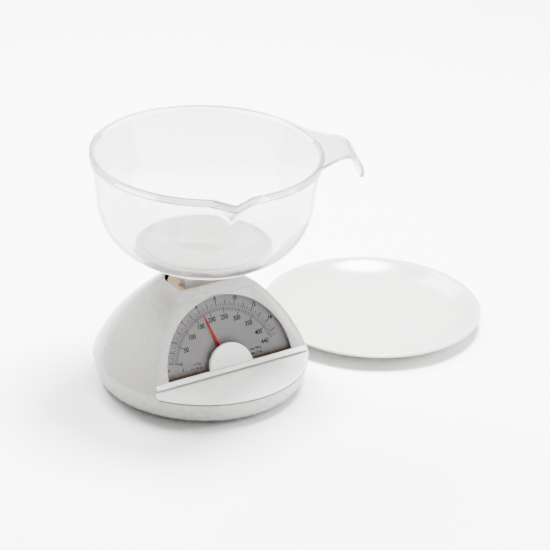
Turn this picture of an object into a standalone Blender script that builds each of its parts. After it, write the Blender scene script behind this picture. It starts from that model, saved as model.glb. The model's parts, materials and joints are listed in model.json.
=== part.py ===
"""Small mechanical kitchen scale: white housing with a slanted half-round dial, a clear pouring
bowl on the platform and a shallow dish beside it.

Metres, +Z up. The origin lies on the table, under the middle of the whole set. The dial faces -Y.
Everything of the scale hangs on the empty "scale_axis", everything of the dish on "dish_axis".
"""

import math

import bmesh
import bpy
from mathutils import Matrix, Vector

# ---------------------------------------------------------------- driving dimensions (metres)
GAP = 0.0003                  # between pieces that touch
PIN_PLAY = 0.00015            # radial clearance of a pin in its hole
PEG_OVERLAP = 0.0008          # how far joined shapes reach into each other

# Housing
WAIST_RADIUS = 0.0739
WAIST_HEIGHT = 0.020
HULL_BOTTOM = 0.0015          # height of the housing's lower edge
HULL_TUCK = 0.0099            # how much narrower than the waist the lower edge is
HULL_FIRST_BEND = 0.0045      # height over which the lower edge rounds up
TOP_HEIGHT = 0.076
OPENING_HALF_X = 0.0235       # the mouth in the top that the platform post passes
OPENING_HALF_Y = 0.009
TOP_WALL = 0.0016
WALL = 0.0022
DOME_LINEAR_SHARE = 0.44      # how soon the dome draws in above the waist
CREASE_ANGLE = math.radians(165)
SHELF_HEIGHT = 0.0175         # step in front that carries the apron

# Dial panel
DIAL_SLANT = math.radians(63.9)      # from the horizontal
DIAL_CENTRE_Y = -0.0385
DIAL_CENTRE_Z = 0.0255
PANEL_TOP_HEIGHT = 0.0718
PANEL_TOP_HALF = 0.0333
PANEL_SIDE_LINEAR = 0.15
FRONT_WALL = 0.0038
PANEL_MARGIN = 0.0016         # rim of the housing left round the bezel
BEZEL_SINK = 0.0006           # the bezel lies this deep in the housing's face
BEZEL_THICK = 0.0014
BEZEL_BOTTOM = -0.0022        # lowest line of the bezel, measured up the dial's slope
LEDGE_HEIGHT = 0.0034
LEDGE_PROUD = 0.0028
WINDOW_RADIUS = 0.0499
LENS_RADIUS = 0.0503
LENS_THICK = 0.0008
HUB_COVER_RADIUS = 0.0169
HUB_COVER_PROUD = 0.0014
POINTER_DEPTH = 0.0037        # of the pointer's front face below the housing's face
POINTER_THICK = 0.0004
POINTER_LENGTH = 0.0400
POINTER_BASE_HALF = 0.0013
POINTER_TIP_HALF = 0.0003
POINTER_HUB_RADIUS = 0.0032
POINTER_TAIL = 0.0070
POINTER_REST = math.radians(105)     # from the dial's right-hand side, counter-clockwise
POINTER_EMPTY = math.radians(163.5)
POINTER_FULL = math.radians(18.2)
PLATE_DEPTH = 0.0050
PLATE_THICK = 0.0006
PLATE_RADIUS = 0.0515
PLATE_DROP = 0.0040           # how far the dial plate reaches below its centre

# Apron in front of the dial
APRON_BACK_TOP = 0.0232
APRON_FRONT_TOP = 0.0203
APRON_SKIN = 0.0020

# Base
BASE_BOTTOM = 0.0017
BASE_THICK = 0.0022
FOOT_RADIUS = 0.0060
FOOT_CIRCLE = 0.0480
FOOT_SEAT = 0.0010
BOSS_RADIUS = 0.0036
BOSS_SPOTS = ((0.0440, 0.0330), (0.0510, -0.0180))   # right-hand pair, mirrored to the left
SCREW_RADIUS = 0.0014
SCREW_HEAD_RADIUS = 0.0027
SCREW_HEAD_HEIGHT = 0.0013
SCREW_LENGTH = 0.0100
PILOT_PLAY = 0.0002

# Lever mechanism
PIVOT_Y = 0.0340
LOWER_PIVOT_Z = 0.0180
UPPER_PIVOT_Z = 0.0500
LEVER_LENGTH = 0.0340
PIN_RADIUS = 0.0012
ARM_HALF_HEIGHT = 0.0032
SHEET = 0.0020                # thickness of arms, legs and cheeks
LEG_X = 0.0150                # middle of the post's legs
ARM_X = 0.0180
CHEEK_X = 0.0230
FRAME_FLOOR_BOTTOM = 0.0063
FRAME_FLOOR_HALF_X = 0.0245
FRAME_FRONT_Y = -0.0415
FRAME_REAR_Y = 0.0580
FRAME_SCREW_X = 0.0190
FRAME_SCREW_INSET = 0.0050
CRANK_X = 0.0094
CRANK_THICK = 0.0020
CRANK_HALF_WIDTH = 0.0022

# Rack, pinion and shaft
GEAR_MODULE = 0.0005
PINION_TEETH = 12
PINION_DEPTH = 0.0140         # middle of pinion and rack behind the housing's face
PINION_WIDTH = 0.0030
RACK_BACK = 0.0042            # rack width behind its pitch line
RACK_TEETH_LOW = -0.0050
RACK_TEETH_HIGH = 0.0078
SHAFT_RADIUS = 0.0010
BUSH_RADIUS = 0.0022
BRIDGE_THICK = 0.0020
BRIDGE_FRONT_DEPTH = 0.0092
BRIDGE_REAR_DEPTH = 0.0178
BRIDGE_HALF_WIDTH = 0.0150
BRIDGE_TOP = 0.0068
SOLE_THICK = 0.0016
RACK_PLAY = 0.0008            # free room round the rack where it dips into the bracket's sole

# Main spring and zero adjuster
SPRING_X = -0.0060
SPRING_Z = 0.0285
SPRING_RADIUS = 0.0030
SPRING_WIRE = 0.00035
SPRING_TURNS = 7
ANCHOR_Y = 0.0490
ANCHOR_THICK = 0.0036
ADJUSTER_RADIUS = 0.0020
ADJUSTER_WALL_Y = 0.0545
KNOB_RADIUS = 0.0064
KNOB_FROM_Y = 0.0630
KNOB_LENGTH = 0.0130
KNOB_RIBS = 24

# Post and platform
POST_HALF_Y = 0.0034
POST_WEB_Z = 0.0560
STEM_HALF_X = 0.0150
STEM_TOP = 0.0945
PLATFORM_RADIUS = 0.0465
PLATFORM_TOP = 0.0997
PLATFORM_THICK = 0.0022
PLATFORM_STEP = 0.0017        # raised middle that centres the bowl
SOCKET_WALL = 0.0018
SOCKET_DEPTH = 0.0065

# Bowl
BOWL_WALL = 0.0025
BOWL_FOOT_RADIUS = 0.0460
BOWL_FOOT_WIDTH = 0.0034
BOWL_BULGE_RADIUS = 0.0728
BOWL_BULGE_RISE = 0.0360
BOWL_BULGE_POWER = 1.75
BOWL_RIM_RADIUS = 0.0780
BOWL_HEIGHT = 0.0700
BOWL_FLARE_POWER = 1.3
SPOUT_ANGLE = math.radians(-110)
SPOUT_HALF_ANGLE = math.radians(11.5)
SPOUT_REACH = 0.0900
SPOUT_DROP = 0.0175
HANDLE_ANGLE = math.radians(-23)
HANDLE_HALF_ANGLE = math.radians(36)
HANDLE_END_HALF = 0.0175
HANDLE_BEND_REACH = 0.0900
HANDLE_THICK = 0.0024
HOOK_RADIUS = 0.0115
HOOK_DROP = 0.0045

# Dish beside the scale
DISH_RADIUS = 0.0782
DISH_HEIGHT = 0.0120
DISH_FOOT_RADIUS = 0.0540
DISH_WALL = 0.0025
DISH_X = 0.1530               # from the scale's axis
DISH_Y = 0.0130

# ---------------------------------------------------------------- derived places
SINE, COSINE = math.sin(DIAL_SLANT), math.cos(DIAL_SLANT)
UP_SLOPE = Vector((0, COSINE, SINE))
OUT_OF_DIAL = Vector((0, -SINE, COSINE))
DIAL_CENTRE = Vector((0, DIAL_CENTRE_Y, DIAL_CENTRE_Z))

PITCH_RADIUS = GEAR_MODULE * PINION_TEETH / 2
LOWER_PIVOT = Vector((0, PIVOT_Y, LOWER_PIVOT_Z))
UPPER_PIVOT = Vector((0, PIVOT_Y, UPPER_PIVOT_Z))
POST_LOWER = LOWER_PIVOT - Vector((0, LEVER_LENGTH, 0))
POST_UPPER = UPPER_PIVOT - Vector((0, LEVER_LENGTH, 0))
CRANK_REACH = -(LOWER_PIVOT - DIAL_CENTRE).dot(OUT_OF_DIAL) - PINION_DEPTH
CRANK_END = LOWER_PIVOT + OUT_OF_DIAL * CRANK_REACH
LEVER_PER_POINTER = PITCH_RADIUS / CRANK_REACH

FLOOR_TOP = FRAME_FLOOR_BOTTOM + SHEET
BASE_TOP = BASE_BOTTOM + BASE_THICK
BOWL_BASE = PLATFORM_TOP + GAP
SPRING_HORN = Vector((SPRING_X, PIVOT_Y, SPRING_Z))

SET_RIGHT = DISH_X + DISH_RADIUS
SET_LEFT = -BOWL_RIM_RADIUS
SET_BACK = DISH_Y + DISH_RADIUS
SET_FRONT = SPOUT_REACH * math.sin(SPOUT_ANGLE)
SCALE_PLACE = Vector((-(SET_RIGHT + SET_LEFT) / 2, -(SET_BACK + SET_FRONT) / 2, 0))
DISH_PLACE = SCALE_PLACE + Vector((DISH_X, DISH_Y, 0))

# ---------------------------------------------------------------- scene and collections
for leftover in list(bpy.data.objects):
    bpy.data.objects.remove(leftover)

pieces = bpy.data.collections.new("kitchen_scale")
cutters = bpy.data.collections.new("cutters")
bpy.context.scene.collection.children.link(pieces)
bpy.context.scene.collection.children.link(cutters)
cutters.hide_render = True

AXES = {}


def add_axis(name, place):
    """An empty that carries every piece standing on it."""
    empty = bpy.data.objects.new(name, None)
    empty.location = place
    pieces.objects.link(empty)
    AXES[name] = empty
    return empty


add_axis("scale_axis", SCALE_PLACE)
add_axis("dish_axis", DISH_PLACE)


def finish(name, colour, roughness, metallic=0.0, alpha=1.0):
    """A Principled material of one colour."""
    material = bpy.data.materials.new(name)
    material.use_nodes = True
    shader = material.node_tree.nodes["Principled BSDF"]
    shader.inputs["Base Color"].default_value = (*colour, 1)
    shader.inputs["Roughness"].default_value = roughness
    shader.inputs["Metallic"].default_value = metallic
    shader.inputs["Alpha"].default_value = alpha
    return material


WHITE = finish("white_plastic", (0.82, 0.81, 0.79), 0.3)
APRON_WHITE = finish("apron_plastic", (0.86, 0.85, 0.83), 0.28)
CLEAR = finish("clear_plastic", (0.85, 0.86, 0.9), 0.05, alpha=0.3)
DISH_WHITE = finish("dish_plastic", (0.86, 0.86, 0.83), 0.22)
SILVER = finish("dial_silver", (0.45, 0.44, 0.45), 0.45, 0.3)
RED = finish("pointer_red", (0.75, 0.02, 0.02), 0.4)
STEEL = finish("bright_steel", (0.6, 0.6, 0.6), 0.3, 1.0)
ZINC = finish("zinc_sheet", (0.55, 0.56, 0.56), 0.4, 1.0)
BRASS = finish("brass", (0.7, 0.55, 0.25), 0.35, 1.0)
RUBBER = finish("foot_rubber", (0.12, 0.12, 0.12), 0.8)
GREY = finish("acetal_grey", (0.5, 0.5, 0.5), 0.45)


def add_object(name, mesh, material=None, axis="scale_axis", matrix=None):
    """A node when it has a material, otherwise a hidden helper. Its place is under its axis."""
    obj = bpy.data.objects.new(name, mesh)
    if material is None:
        cutters.objects.link(obj)
        obj.hide_render = True
        obj.display_type = "WIRE"
    else:
        pieces.objects.link(obj)
        mesh.materials.append(material)
    obj.parent = AXES[axis]
    if matrix is not None:
        obj.matrix_local = matrix
    return obj


def mesh_from(name, bm):
    """Closes a bmesh: normals outward, flat corners kept sharp, round ones smooth."""
    bmesh.ops.recalc_face_normals(bm, faces=bm.faces)
    mesh = bpy.data.meshes.new(name)
    bm.to_mesh(mesh)
    bm.free()
    mesh.shade_smooth()
    mesh.set_sharp_from_angle(angle=math.radians(35))
    return mesh


def box(name, low, high, material=None, axis="scale_axis", matrix=None):
    """A block between two corners."""
    low, high = Vector(low), Vector(high)
    bm = bmesh.new()
    bmesh.ops.create_cube(bm, size=1)
    bmesh.ops.scale(bm, vec=high - low, verts=bm.verts)
    bmesh.ops.translate(bm, vec=(low + high) / 2, verts=bm.verts)
    return add_object(name, mesh_from(name, bm), material, axis, matrix)


def turned_to(direction):
    """Rotation that lays +Z along a direction."""
    return Vector((0, 0, 1)).rotation_difference(Vector(direction)).to_matrix().to_4x4()


def rod(name, radius, start, end, material=None, axis="scale_axis", segments=20):
    """A round bar between two points, its origin in its middle and its axis along local Z."""
    start, end = Vector(start), Vector(end)
    bm = bmesh.new()
    bmesh.ops.create_cone(
        bm,
        cap_ends=True,
        segments=segments,
        radius1=radius,
        radius2=radius,
        depth=(end - start).length,
    )
    matrix = Matrix.Translation((start + end) / 2) @ turned_to(end - start)
    return add_object(name, mesh_from(name, bm), material, axis, matrix)


def turned(name, profile, material=None, axis="scale_axis", matrix=None, steps=32):
    """A solid of revolution about local Z: the profile (radius, height) runs down its outer side."""
    bm = bmesh.new()
    spots = [bm.verts.new((radius, 0, height)) for radius, height in profile]
    for first, second in zip(spots, spots[1:]):
        bm.edges.new((first, second))
    mesh = bpy.data.meshes.new(name)
    bm.to_mesh(mesh)
    bm.free()
    obj = add_object(name, mesh, material, axis, matrix)
    screw = obj.modifiers.new("turn", "SCREW")
    screw.steps = steps
    screw.render_steps = steps
    screw.use_merge_vertices = True
    screw.merge_threshold = 1e-5
    screw.use_smooth_shade = True
    return obj


def plate(name, outlines, low, high, material=None, axis="scale_axis", matrix=None):
    """Flat outlines (the first outside, the rest holes) in local XY, filled from z low to high."""
    curve = bpy.data.curves.new(name, "CURVE")
    curve.dimensions = "2D"
    curve.fill_mode = "BOTH"
    curve.extrude = (high - low) / 2
    for outline in outlines:
        spline = curve.splines.new("POLY")
        spline.points.add(len(outline) - 1)
        for point, (x, y) in zip(spline.points, outline):
            point.co = (x, y, 0, 1)
        spline.use_cyclic_u = True
    guide = bpy.data.objects.new(name + "_outline", curve)
    cutters.objects.link(guide)
    bpy.context.view_layer.update()
    graph = bpy.context.evaluated_depsgraph_get()
    flat = bpy.data.meshes.new_from_object(guide.evaluated_get(graph))
    bpy.data.objects.remove(guide)
    bm = bmesh.new()
    bm.from_mesh(flat)
    bmesh.ops.remove_doubles(bm, verts=bm.verts, dist=1e-6)
    bmesh.ops.translate(bm, vec=(0, 0, (low + high) / 2), verts=bm.verts)
    return add_object(name, mesh_from(name, bm), material, axis, matrix)


def loft(name, rings, material=None, axis="scale_axis"):
    """A closed solid through rings of equally many points, capped at both ends."""
    bm = bmesh.new()
    levels = [[bm.verts.new(point) for point in ring] for ring in rings]
    count = len(rings[0])
    for lower, upper in zip(levels, levels[1:]):
        for here in range(count):
            there = (here + 1) % count
            bm.faces.new((lower[here], lower[there], upper[there], upper[here]))
    bm.faces.new(list(reversed(levels[0])))
    bm.faces.new(levels[-1])
    bmesh.ops.remove_doubles(bm, verts=bm.verts, dist=1e-6)
    return add_object(name, mesh_from(name, bm), material, axis)


def boolean(obj, other, operation):
    """A live Boolean with the exact solver."""
    modifier = obj.modifiers.new(operation.lower(), "BOOLEAN")
    modifier.operation = operation
    modifier.object = other
    modifier.solver = "EXACT"
    return obj


def cut(obj, *others):
    """Takes each helper away from the object."""
    for other in others:
        boolean(obj, other, "DIFFERENCE")
    return obj


def join(obj, *others):
    """Adds each helper to the object."""
    for other in others:
        boolean(obj, other, "UNION")
    return obj


def arc(radius, start, end, count, centre=(0.0, 0.0)):
    """Points on an arc, both ends included."""
    turn = (end - start) / count
    angles = [start + turn * step for step in range(count + 1)]
    return [(centre[0] + radius * math.cos(a), centre[1] + radius * math.sin(a)) for a in angles]


def circle(radius, count=24, centre=(0.0, 0.0)):
    """Points round a whole circle."""
    return arc(radius, 0, math.tau, count, centre)[:-1]


def stadium(start, end, half_width, count=6):
    """A bar with round ends between two points of a plane."""
    lean = math.atan2(end[1] - start[1], end[0] - start[0])
    quarter = math.pi / 2
    far = arc(half_width, lean - quarter, lean + quarter, count, end)
    near = arc(half_width, lean + quarter, lean + 3 * quarter, count, start)
    return far + near


# Local X and Y of a plate laid in the side view become world Y and Z, its thickness world X.
SIDE_VIEW = Matrix(((0, 0, 1, 0), (1, 0, 0, 0), (0, 1, 0, 0), (0, 0, 0, 1)))
# Local X, Y and Z of a plate laid on the dial: across, up the slope and out of the dial.
DIAL_VIEW = Matrix.Translation(DIAL_CENTRE) @ Matrix(
    (
        (1, 0, 0, 0),
        (0, UP_SLOPE.y, OUT_OF_DIAL.y, 0),
        (0, UP_SLOPE.z, OUT_OF_DIAL.z, 0),
        (0, 0, 0, 1),
    )
)


def on_dial(across, up, depth):
    """A point of the dial's plane, a depth behind the housing's face."""
    return DIAL_VIEW @ Vector((across, up, -depth))


def side_plate(name, outlines, x_middle, thickness, material=None):
    """A plate whose outline is drawn in the side view (y, z)."""
    half = thickness / 2
    return plate(name, outlines, x_middle - half, x_middle + half, material, matrix=SIDE_VIEW)


# ---------------------------------------------------------------- housing
BACK_STEPS, FLANK_STEPS, FRONT_STEPS = 9, 6, 5


def hull_radius(height):
    """Outer radius below the waist: a quick curve at the lower edge, then nearly straight."""
    rise = (height - HULL_BOTTOM) / (WAIST_HEIGHT - HULL_BOTTOM)
    bend = math.exp(-(height - HULL_BOTTOM) / HULL_FIRST_BEND * 2)
    return WAIST_RADIUS - HULL_TUCK * (0.62 * bend + 0.38 * (1 - rise))


def crease(height):
    """The corner between a flank and the round back, right-hand side, as (x, y)."""
    if height <= WAIST_HEIGHT:
        radius, angle = hull_radius(height), math.pi - CREASE_ANGLE
    else:
        corner = Vector((OPENING_HALF_X + TOP_WALL, OPENING_HALF_Y + TOP_WALL))
        rise = (height - WAIST_HEIGHT) / (TOP_HEIGHT - WAIST_HEIGHT)
        draw = DOME_LINEAR_SHARE * rise + (1 - DOME_LINEAR_SHARE) * rise**2
        radius = WAIST_RADIUS + (corner.length - WAIST_RADIUS) * draw
        angle = math.pi - CREASE_ANGLE
        angle += (math.atan2(corner.y, corner.x) - angle) * rise**2
    return Vector((radius * math.cos(angle), radius * math.sin(angle)))


def face_y(height):
    """How far forward the slanted face lies at a height."""
    if height <= PANEL_TOP_HEIGHT:
        return DIAL_CENTRE_Y + (height - DIAL_CENTRE_Z) * COSINE / SINE
    brow = (height - PANEL_TOP_HEIGHT) / (TOP_HEIGHT - PANEL_TOP_HEIGHT)
    start = face_y(PANEL_TOP_HEIGHT)
    return start + (-OPENING_HALF_Y - TOP_WALL - start) * brow


def face_half_width(height):
    """Half the width of the slanted face at a height."""
    base_y = face_y(WAIST_HEIGHT)
    base = math.sqrt(WAIST_RADIUS**2 - base_y**2)
    if height <= WAIST_HEIGHT:
        return math.sqrt(hull_radius(height) ** 2 - face_y(height) ** 2)
    if height <= PANEL_TOP_HEIGHT:
        rise = (height - WAIST_HEIGHT) / (PANEL_TOP_HEIGHT - WAIST_HEIGHT)
        draw = PANEL_SIDE_LINEAR * rise + (1 - PANEL_SIDE_LINEAR) * rise**2
        return base + (PANEL_TOP_HALF - base) * draw
    brow = (height - PANEL_TOP_HEIGHT) / (TOP_HEIGHT - PANEL_TOP_HEIGHT)
    return PANEL_TOP_HALF + (OPENING_HALF_X + TOP_WALL - PANEL_TOP_HALF) * brow


def flank_bulge(height):
    """How far a flank bows out of the straight line between its two corners."""
    corner = crease(min(height, WAIST_HEIGHT))
    front = Vector((face_half_width(min(height, WAIST_HEIGHT)), face_y(min(height, WAIST_HEIGHT))))
    full = corner.length - (corner + front).length / 2
    rise = max(0.0, (height - WAIST_HEIGHT) / (TOP_HEIGHT - WAIST_HEIGHT))
    return full * (1 - rise) ** 2


def section(height, inset, front_inset, round_front):
    """One closed ring of the housing, drawn in by an inset; round_front ends it in the waist's arc."""
    corner = crease(height)
    half_width, forward = face_half_width(height), face_y(height)
    angle = math.atan2(corner.y, corner.x)
    back = arc(corner.length - inset, math.pi / 2, angle, BACK_STEPS)
    corner = Vector(back[-1])
    front = Vector((half_width - inset, forward + front_inset / SINE))
    if round_front:
        front = Vector((half_width, forward)) * ((half_width**2 + forward**2) ** 0.5 - inset)
        front /= math.hypot(half_width, forward)
    along = front - corner
    outward = Vector((-along.y, along.x)).normalized() * flank_bulge(height)
    flank = []
    for step in range(1, FLANK_STEPS + 1):
        share = step / FLANK_STEPS
        flank.append(tuple(corner + along * share + outward * 4 * share * (1 - share)))
    if round_front:
        start = math.atan2(front.y, front.x)
        fore = arc(front.length, start, -math.pi / 2, FRONT_STEPS)[1:]
    else:
        fore = [(front.x * (1 - step / FRONT_STEPS), front.y) for step in range(1, FRONT_STEPS + 1)]
    right = back + flank + fore
    left = [(-x, y) for x, y in reversed(right[1:-1])]
    return [(x, y, height) for x, y in right + left]


def housing_form(name, inset, front_inset, bottom, top, shelf, material=None):
    """The housing's outer form, or with insets the room inside it."""
    below = [HULL_BOTTOM, 0.0026, 0.0045, 0.008, 0.0125]
    above = [WAIST_HEIGHT, 0.0245, 0.030, 0.036, 0.042, 0.048, 0.054, 0.060, 0.066]
    above += [PANEL_TOP_HEIGHT, TOP_HEIGHT]
    rings = [section(z, inset, front_inset, True) for z in below + [shelf]]
    rings += [section(z, inset, front_inset, False) for z in [shelf] + above]
    if bottom < HULL_BOTTOM:
        rings.insert(0, [(x, y, bottom) for x, y, _ in rings[0]])
    if top > TOP_HEIGHT:
        mouth = []
        for x, y, _ in rings[-1]:
            mouth.append((x, y, top))
        rings.append(mouth)
    return loft(name, rings, material)


def bezel_outline(margin, bottom):
    """The slanted face drawn in by a margin, in dial coordinates, from its lower right corner."""
    top = (PANEL_TOP_HEIGHT - DIAL_CENTRE_Z) / SINE - margin
    steps = 10
    right = []
    for step in range(steps + 1):
        up = bottom + (top - bottom) * step / steps
        height = DIAL_CENTRE_Z + up * SINE
        right.append((face_half_width(height) - margin, up))
    return right + [(-x, up) for x, up in reversed(right)]


def half_disc(radius, bottom, count=28):
    """The part of a disc above a level line, from its lower right corner."""
    start = math.asin(bottom / radius)
    return arc(radius, start, math.pi - start, count)


outside = (0.0, 0.0, HULL_BOTTOM, TOP_HEIGHT, SHELF_HEIGHT)
housing = housing_form("housing", *outside, material=WHITE)
outer_form = housing_form("housing_outer_form", *outside)
cavity = housing_form(
    "housing_cavity", WALL, FRONT_WALL, HULL_BOTTOM - 0.004, TOP_HEIGHT + 0.004, SHELF_HEIGHT - WALL
)
cut(housing, cavity)

for side, hand in ((1, "right"), (-1, "left")):
    for spot, (x, y) in enumerate(BOSS_SPOTS):
        foot = (side * x, y, BASE_TOP + GAP)
        boss = rod(f"boss_{hand}_{spot}", BOSS_RADIUS, foot, (side * x, y, TOP_HEIGHT), segments=16)
        boolean(boss, outer_form, "INTERSECT")
        join(housing, boss)
        pilot_end = (side * x, y, BASE_TOP + SCREW_LENGTH + 0.002)
        pilot = rod(
            f"pilot_{hand}_{spot}", SCREW_RADIUS + PILOT_PLAY, (side * x, y, 0), pilot_end, segments=12
        )
        cut(housing, pilot)

recess = plate(
    "bezel_recess",
    [bezel_outline(PANEL_MARGIN - GAP, BEZEL_BOTTOM - GAP)],
    -(BEZEL_SINK + BEZEL_THICK + GAP),
    0.01,
    matrix=DIAL_VIEW,
)
mouth = plate(
    "window_mouth",
    [half_disc(LENS_RADIUS + GAP, -0.0002)],
    -0.012,
    0.01,
    matrix=DIAL_VIEW,
)
knob_mouth = rod(
    "knob_mouth",
    KNOB_RADIUS + 0.0008,
    (SPRING_X, KNOB_FROM_Y - 0.006, SPRING_Z),
    (SPRING_X, KNOB_FROM_Y + 0.03, SPRING_Z),
    segments=32,
)
pointer_room = plate(
    "pointer_room",
    [circle(POINTER_TAIL + 0.0030, 28)],
    -0.012,
    -(POINTER_DEPTH - 2 * GAP),
    matrix=DIAL_VIEW,
)
cut(housing, recess, mouth, pointer_room, knob_mouth)

# ---------------------------------------------------------------- bezel, lens, dial, hub cover
bezel = plate(
    "dial_bezel",
    [bezel_outline(PANEL_MARGIN, BEZEL_BOTTOM), half_disc(WINDOW_RADIUS, LEDGE_HEIGHT + BEZEL_BOTTOM)],
    -(BEZEL_SINK + BEZEL_THICK),
    -BEZEL_SINK,
    WHITE,
    matrix=DIAL_VIEW,
)
ledge_half = bezel_outline(PANEL_MARGIN, BEZEL_BOTTOM)[0][0]
ledge = side_plate(
    "ledge_bar",
    [
        [
            (-BEZEL_SINK - 0.001, BEZEL_BOTTOM),
            (LEDGE_PROUD - BEZEL_SINK, BEZEL_BOTTOM),
            (LEDGE_PROUD - BEZEL_SINK, BEZEL_BOTTOM + 0.0004),
            (-BEZEL_SINK, BEZEL_BOTTOM + LEDGE_HEIGHT),
            (-BEZEL_SINK - 0.001, BEZEL_BOTTOM + LEDGE_HEIGHT),
        ]
    ],
    0,
    2 * (ledge_half - 0.0006),
)
# The ledge's outline is drawn as (out of the dial, up the slope).
ledge.matrix_local = DIAL_VIEW @ Matrix(((0, 0, 1, 0), (0, 1, 0, 0), (1, 0, 0, 0), (0, 0, 0, 1)))
join(bezel, ledge)

hub_bottom = LEDGE_HEIGHT + BEZEL_BOTTOM + GAP
hub_cover = plate(
    "hub_cover",
    [half_disc(HUB_COVER_RADIUS, hub_bottom, 24)],
    -(BEZEL_SINK + BEZEL_THICK),
    HUB_COVER_PROUD - BEZEL_SINK,
    WHITE,
    matrix=DIAL_VIEW,
)
hub_bevel = hub_cover.modifiers.new("edge", "BEVEL")
hub_bevel.width = 0.0004
hub_bevel.segments = 2
hub_bevel.limit_method = "ANGLE"

lens_front = BEZEL_SINK + BEZEL_THICK + GAP
plate(
    "dial_window",
    [half_disc(LENS_RADIUS, 0.0004)],
    -(lens_front + LENS_THICK),
    -lens_front,
    CLEAR,
    matrix=DIAL_VIEW,
)

plate_low = arc(PLATE_RADIUS, 0, math.pi, 32)
plate_low += [(-PLATE_RADIUS, -PLATE_DROP), (PLATE_RADIUS, -PLATE_DROP)]
plate(
    "dial_plate",
    [plate_low, circle(BUSH_RADIUS, 20)],
    -(PLATE_DEPTH + PLATE_THICK),
    -PLATE_DEPTH,
    SILVER,
    matrix=DIAL_VIEW,
)

# ---------------------------------------------------------------- pointer, shaft, pinion, rack
pointer_hub = rod(
    "pointer_boss",
    POINTER_HUB_RADIUS,
    on_dial(0, 0, POINTER_DEPTH),
    on_dial(0, 0, POINTER_DEPTH + POINTER_THICK + 0.0004),
)
needle = [
    (POINTER_LENGTH, -POINTER_TIP_HALF),
    (POINTER_LENGTH, POINTER_TIP_HALF),
    (0.0, POINTER_BASE_HALF),
    (-POINTER_TAIL, POINTER_BASE_HALF * 1.3),
    (-POINTER_TAIL, -POINTER_BASE_HALF * 1.3),
    (0.0, -POINTER_BASE_HALF),
]
pointer = plate(
    "pointer",
    [needle],
    -(POINTER_DEPTH + POINTER_THICK),
    -POINTER_DEPTH,
    RED,
    matrix=DIAL_VIEW @ Matrix.Rotation(POINTER_REST, 4, "Z"),
)
join(pointer, pointer_hub)
shaft_hole = rod(
    "pointer_bore",
    SHAFT_RADIUS + GAP / 2,
    on_dial(0, 0, POINTER_DEPTH - 0.002),
    on_dial(0, 0, POINTER_DEPTH + 0.004),
)
cut(pointer, shaft_hole)

shaft_front = POINTER_DEPTH - 0.0001
shaft_back = BRIDGE_REAR_DEPTH + BRIDGE_THICK + 0.0008
rod(
    "pointer_shaft",
    SHAFT_RADIUS,
    on_dial(0, 0, shaft_back),
    on_dial(0, 0, shaft_front),
    STEEL,
)


def gear_outline(teeth, module):
    """A spur gear's rim: trapezoid teeth on the pitch circle, one tooth pointing along +X."""
    pitch = module * teeth / 2
    corners = ((-0.32, -1.15), (-0.11, 0.8), (0.11, 0.8), (0.32, -1.15))
    points = []
    for tooth in range(teeth):
        middle = math.tau * tooth / teeth
        for turn, height in corners:
            angle = middle + turn * math.tau / teeth
            radius = pitch + height * module
            points.append((radius * math.cos(angle), radius * math.sin(angle)))
    return points


plate(
    "pinion",
    [gear_outline(PINION_TEETH, GEAR_MODULE), circle(SHAFT_RADIUS + GAP / 2, 16)],
    -(PINION_DEPTH + PINION_WIDTH / 2),
    -(PINION_DEPTH - PINION_WIDTH / 2),
    BRASS,
    matrix=DIAL_VIEW,
)

crank_on_slope = (CRANK_END - DIAL_CENTRE).dot(UP_SLOPE)
tooth_pitch = math.pi * GEAR_MODULE
rack_x = PITCH_RADIUS + RACK_BACK
rack_low = RACK_TEETH_LOW - GEAR_MODULE
rack_top = crank_on_slope + 0.0030
teeth_side = []
tooth_count = math.ceil((RACK_TEETH_HIGH - RACK_TEETH_LOW) / tooth_pitch)
first_tooth = math.ceil(RACK_TEETH_LOW / tooth_pitch)
for tooth in range(first_tooth, first_tooth + tooth_count):
    # A tooth of the rack stands in each gap of the pinion, half a pitch off its tooth.
    middle = (tooth + 0.5) * tooth_pitch
    for turn, height in ((-0.34, -1.15), (-0.12, 0.75), (0.12, 0.75), (0.34, -1.15)):
        teeth_side.append((PITCH_RADIUS - height * GEAR_MODULE, middle + turn * tooth_pitch))
root_x = PITCH_RADIUS + 1.15 * GEAR_MODULE
rack_outline = [(root_x, rack_low)] + teeth_side
rack_outline += [(root_x, rack_top), (rack_x, rack_top), (rack_x, rack_low)]
rack = plate(
    "rack",
    [rack_outline],
    -(PINION_DEPTH + PINION_WIDTH / 2),
    -(PINION_DEPTH - PINION_WIDTH / 2),
    GREY,
    matrix=DIAL_VIEW,
)
rack_head_half = 0.0028
rack_head = rod(
    "rack_head",
    rack_head_half,
    CRANK_END + Vector((root_x, 0, 0)),
    CRANK_END + Vector((rack_x, 0, 0)),
)
join(rack, rack_head)
widest_turn = max(POINTER_REST - POINTER_FULL, POINTER_EMPTY - POINTER_REST)
crank_play = CRANK_REACH * (1 - math.cos(widest_turn * LEVER_PER_POINTER))
rack_eye = rod(
    "rack_eye",
    PIN_RADIUS + PIN_PLAY + crank_play,
    CRANK_END + Vector((root_x - 0.002, 0, 0)),
    CRANK_END + Vector((rack_x + 0.002, 0, 0)),
)
cut(rack, rack_eye)

# ---------------------------------------------------------------- gear bracket and bushes

def bridge_foot(depth):
    """How far down the slope a bracket plate at a depth meets the frame's floor."""
    return (FLOOR_TOP + GAP - DIAL_CENTRE_Z + depth * COSINE) / SINE


def bridge_plate(name, depth, material=None):
    """A slanted plate square to the shaft, standing on the bracket's sole."""
    low = bridge_foot(depth) - PEG_OVERLAP
    wide, narrow = BRIDGE_HALF_WIDTH, BRIDGE_HALF_WIDTH * 0.55
    outline = [(-wide, low), (wide, low), (narrow, BRIDGE_TOP), (-narrow, BRIDGE_TOP)]
    return plate(
        name,
        [outline, circle(BUSH_RADIUS + GAP / 2, 20)],
        -(depth + BRIDGE_THICK),
        -depth,
        material,
        matrix=DIAL_VIEW,
    )


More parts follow.
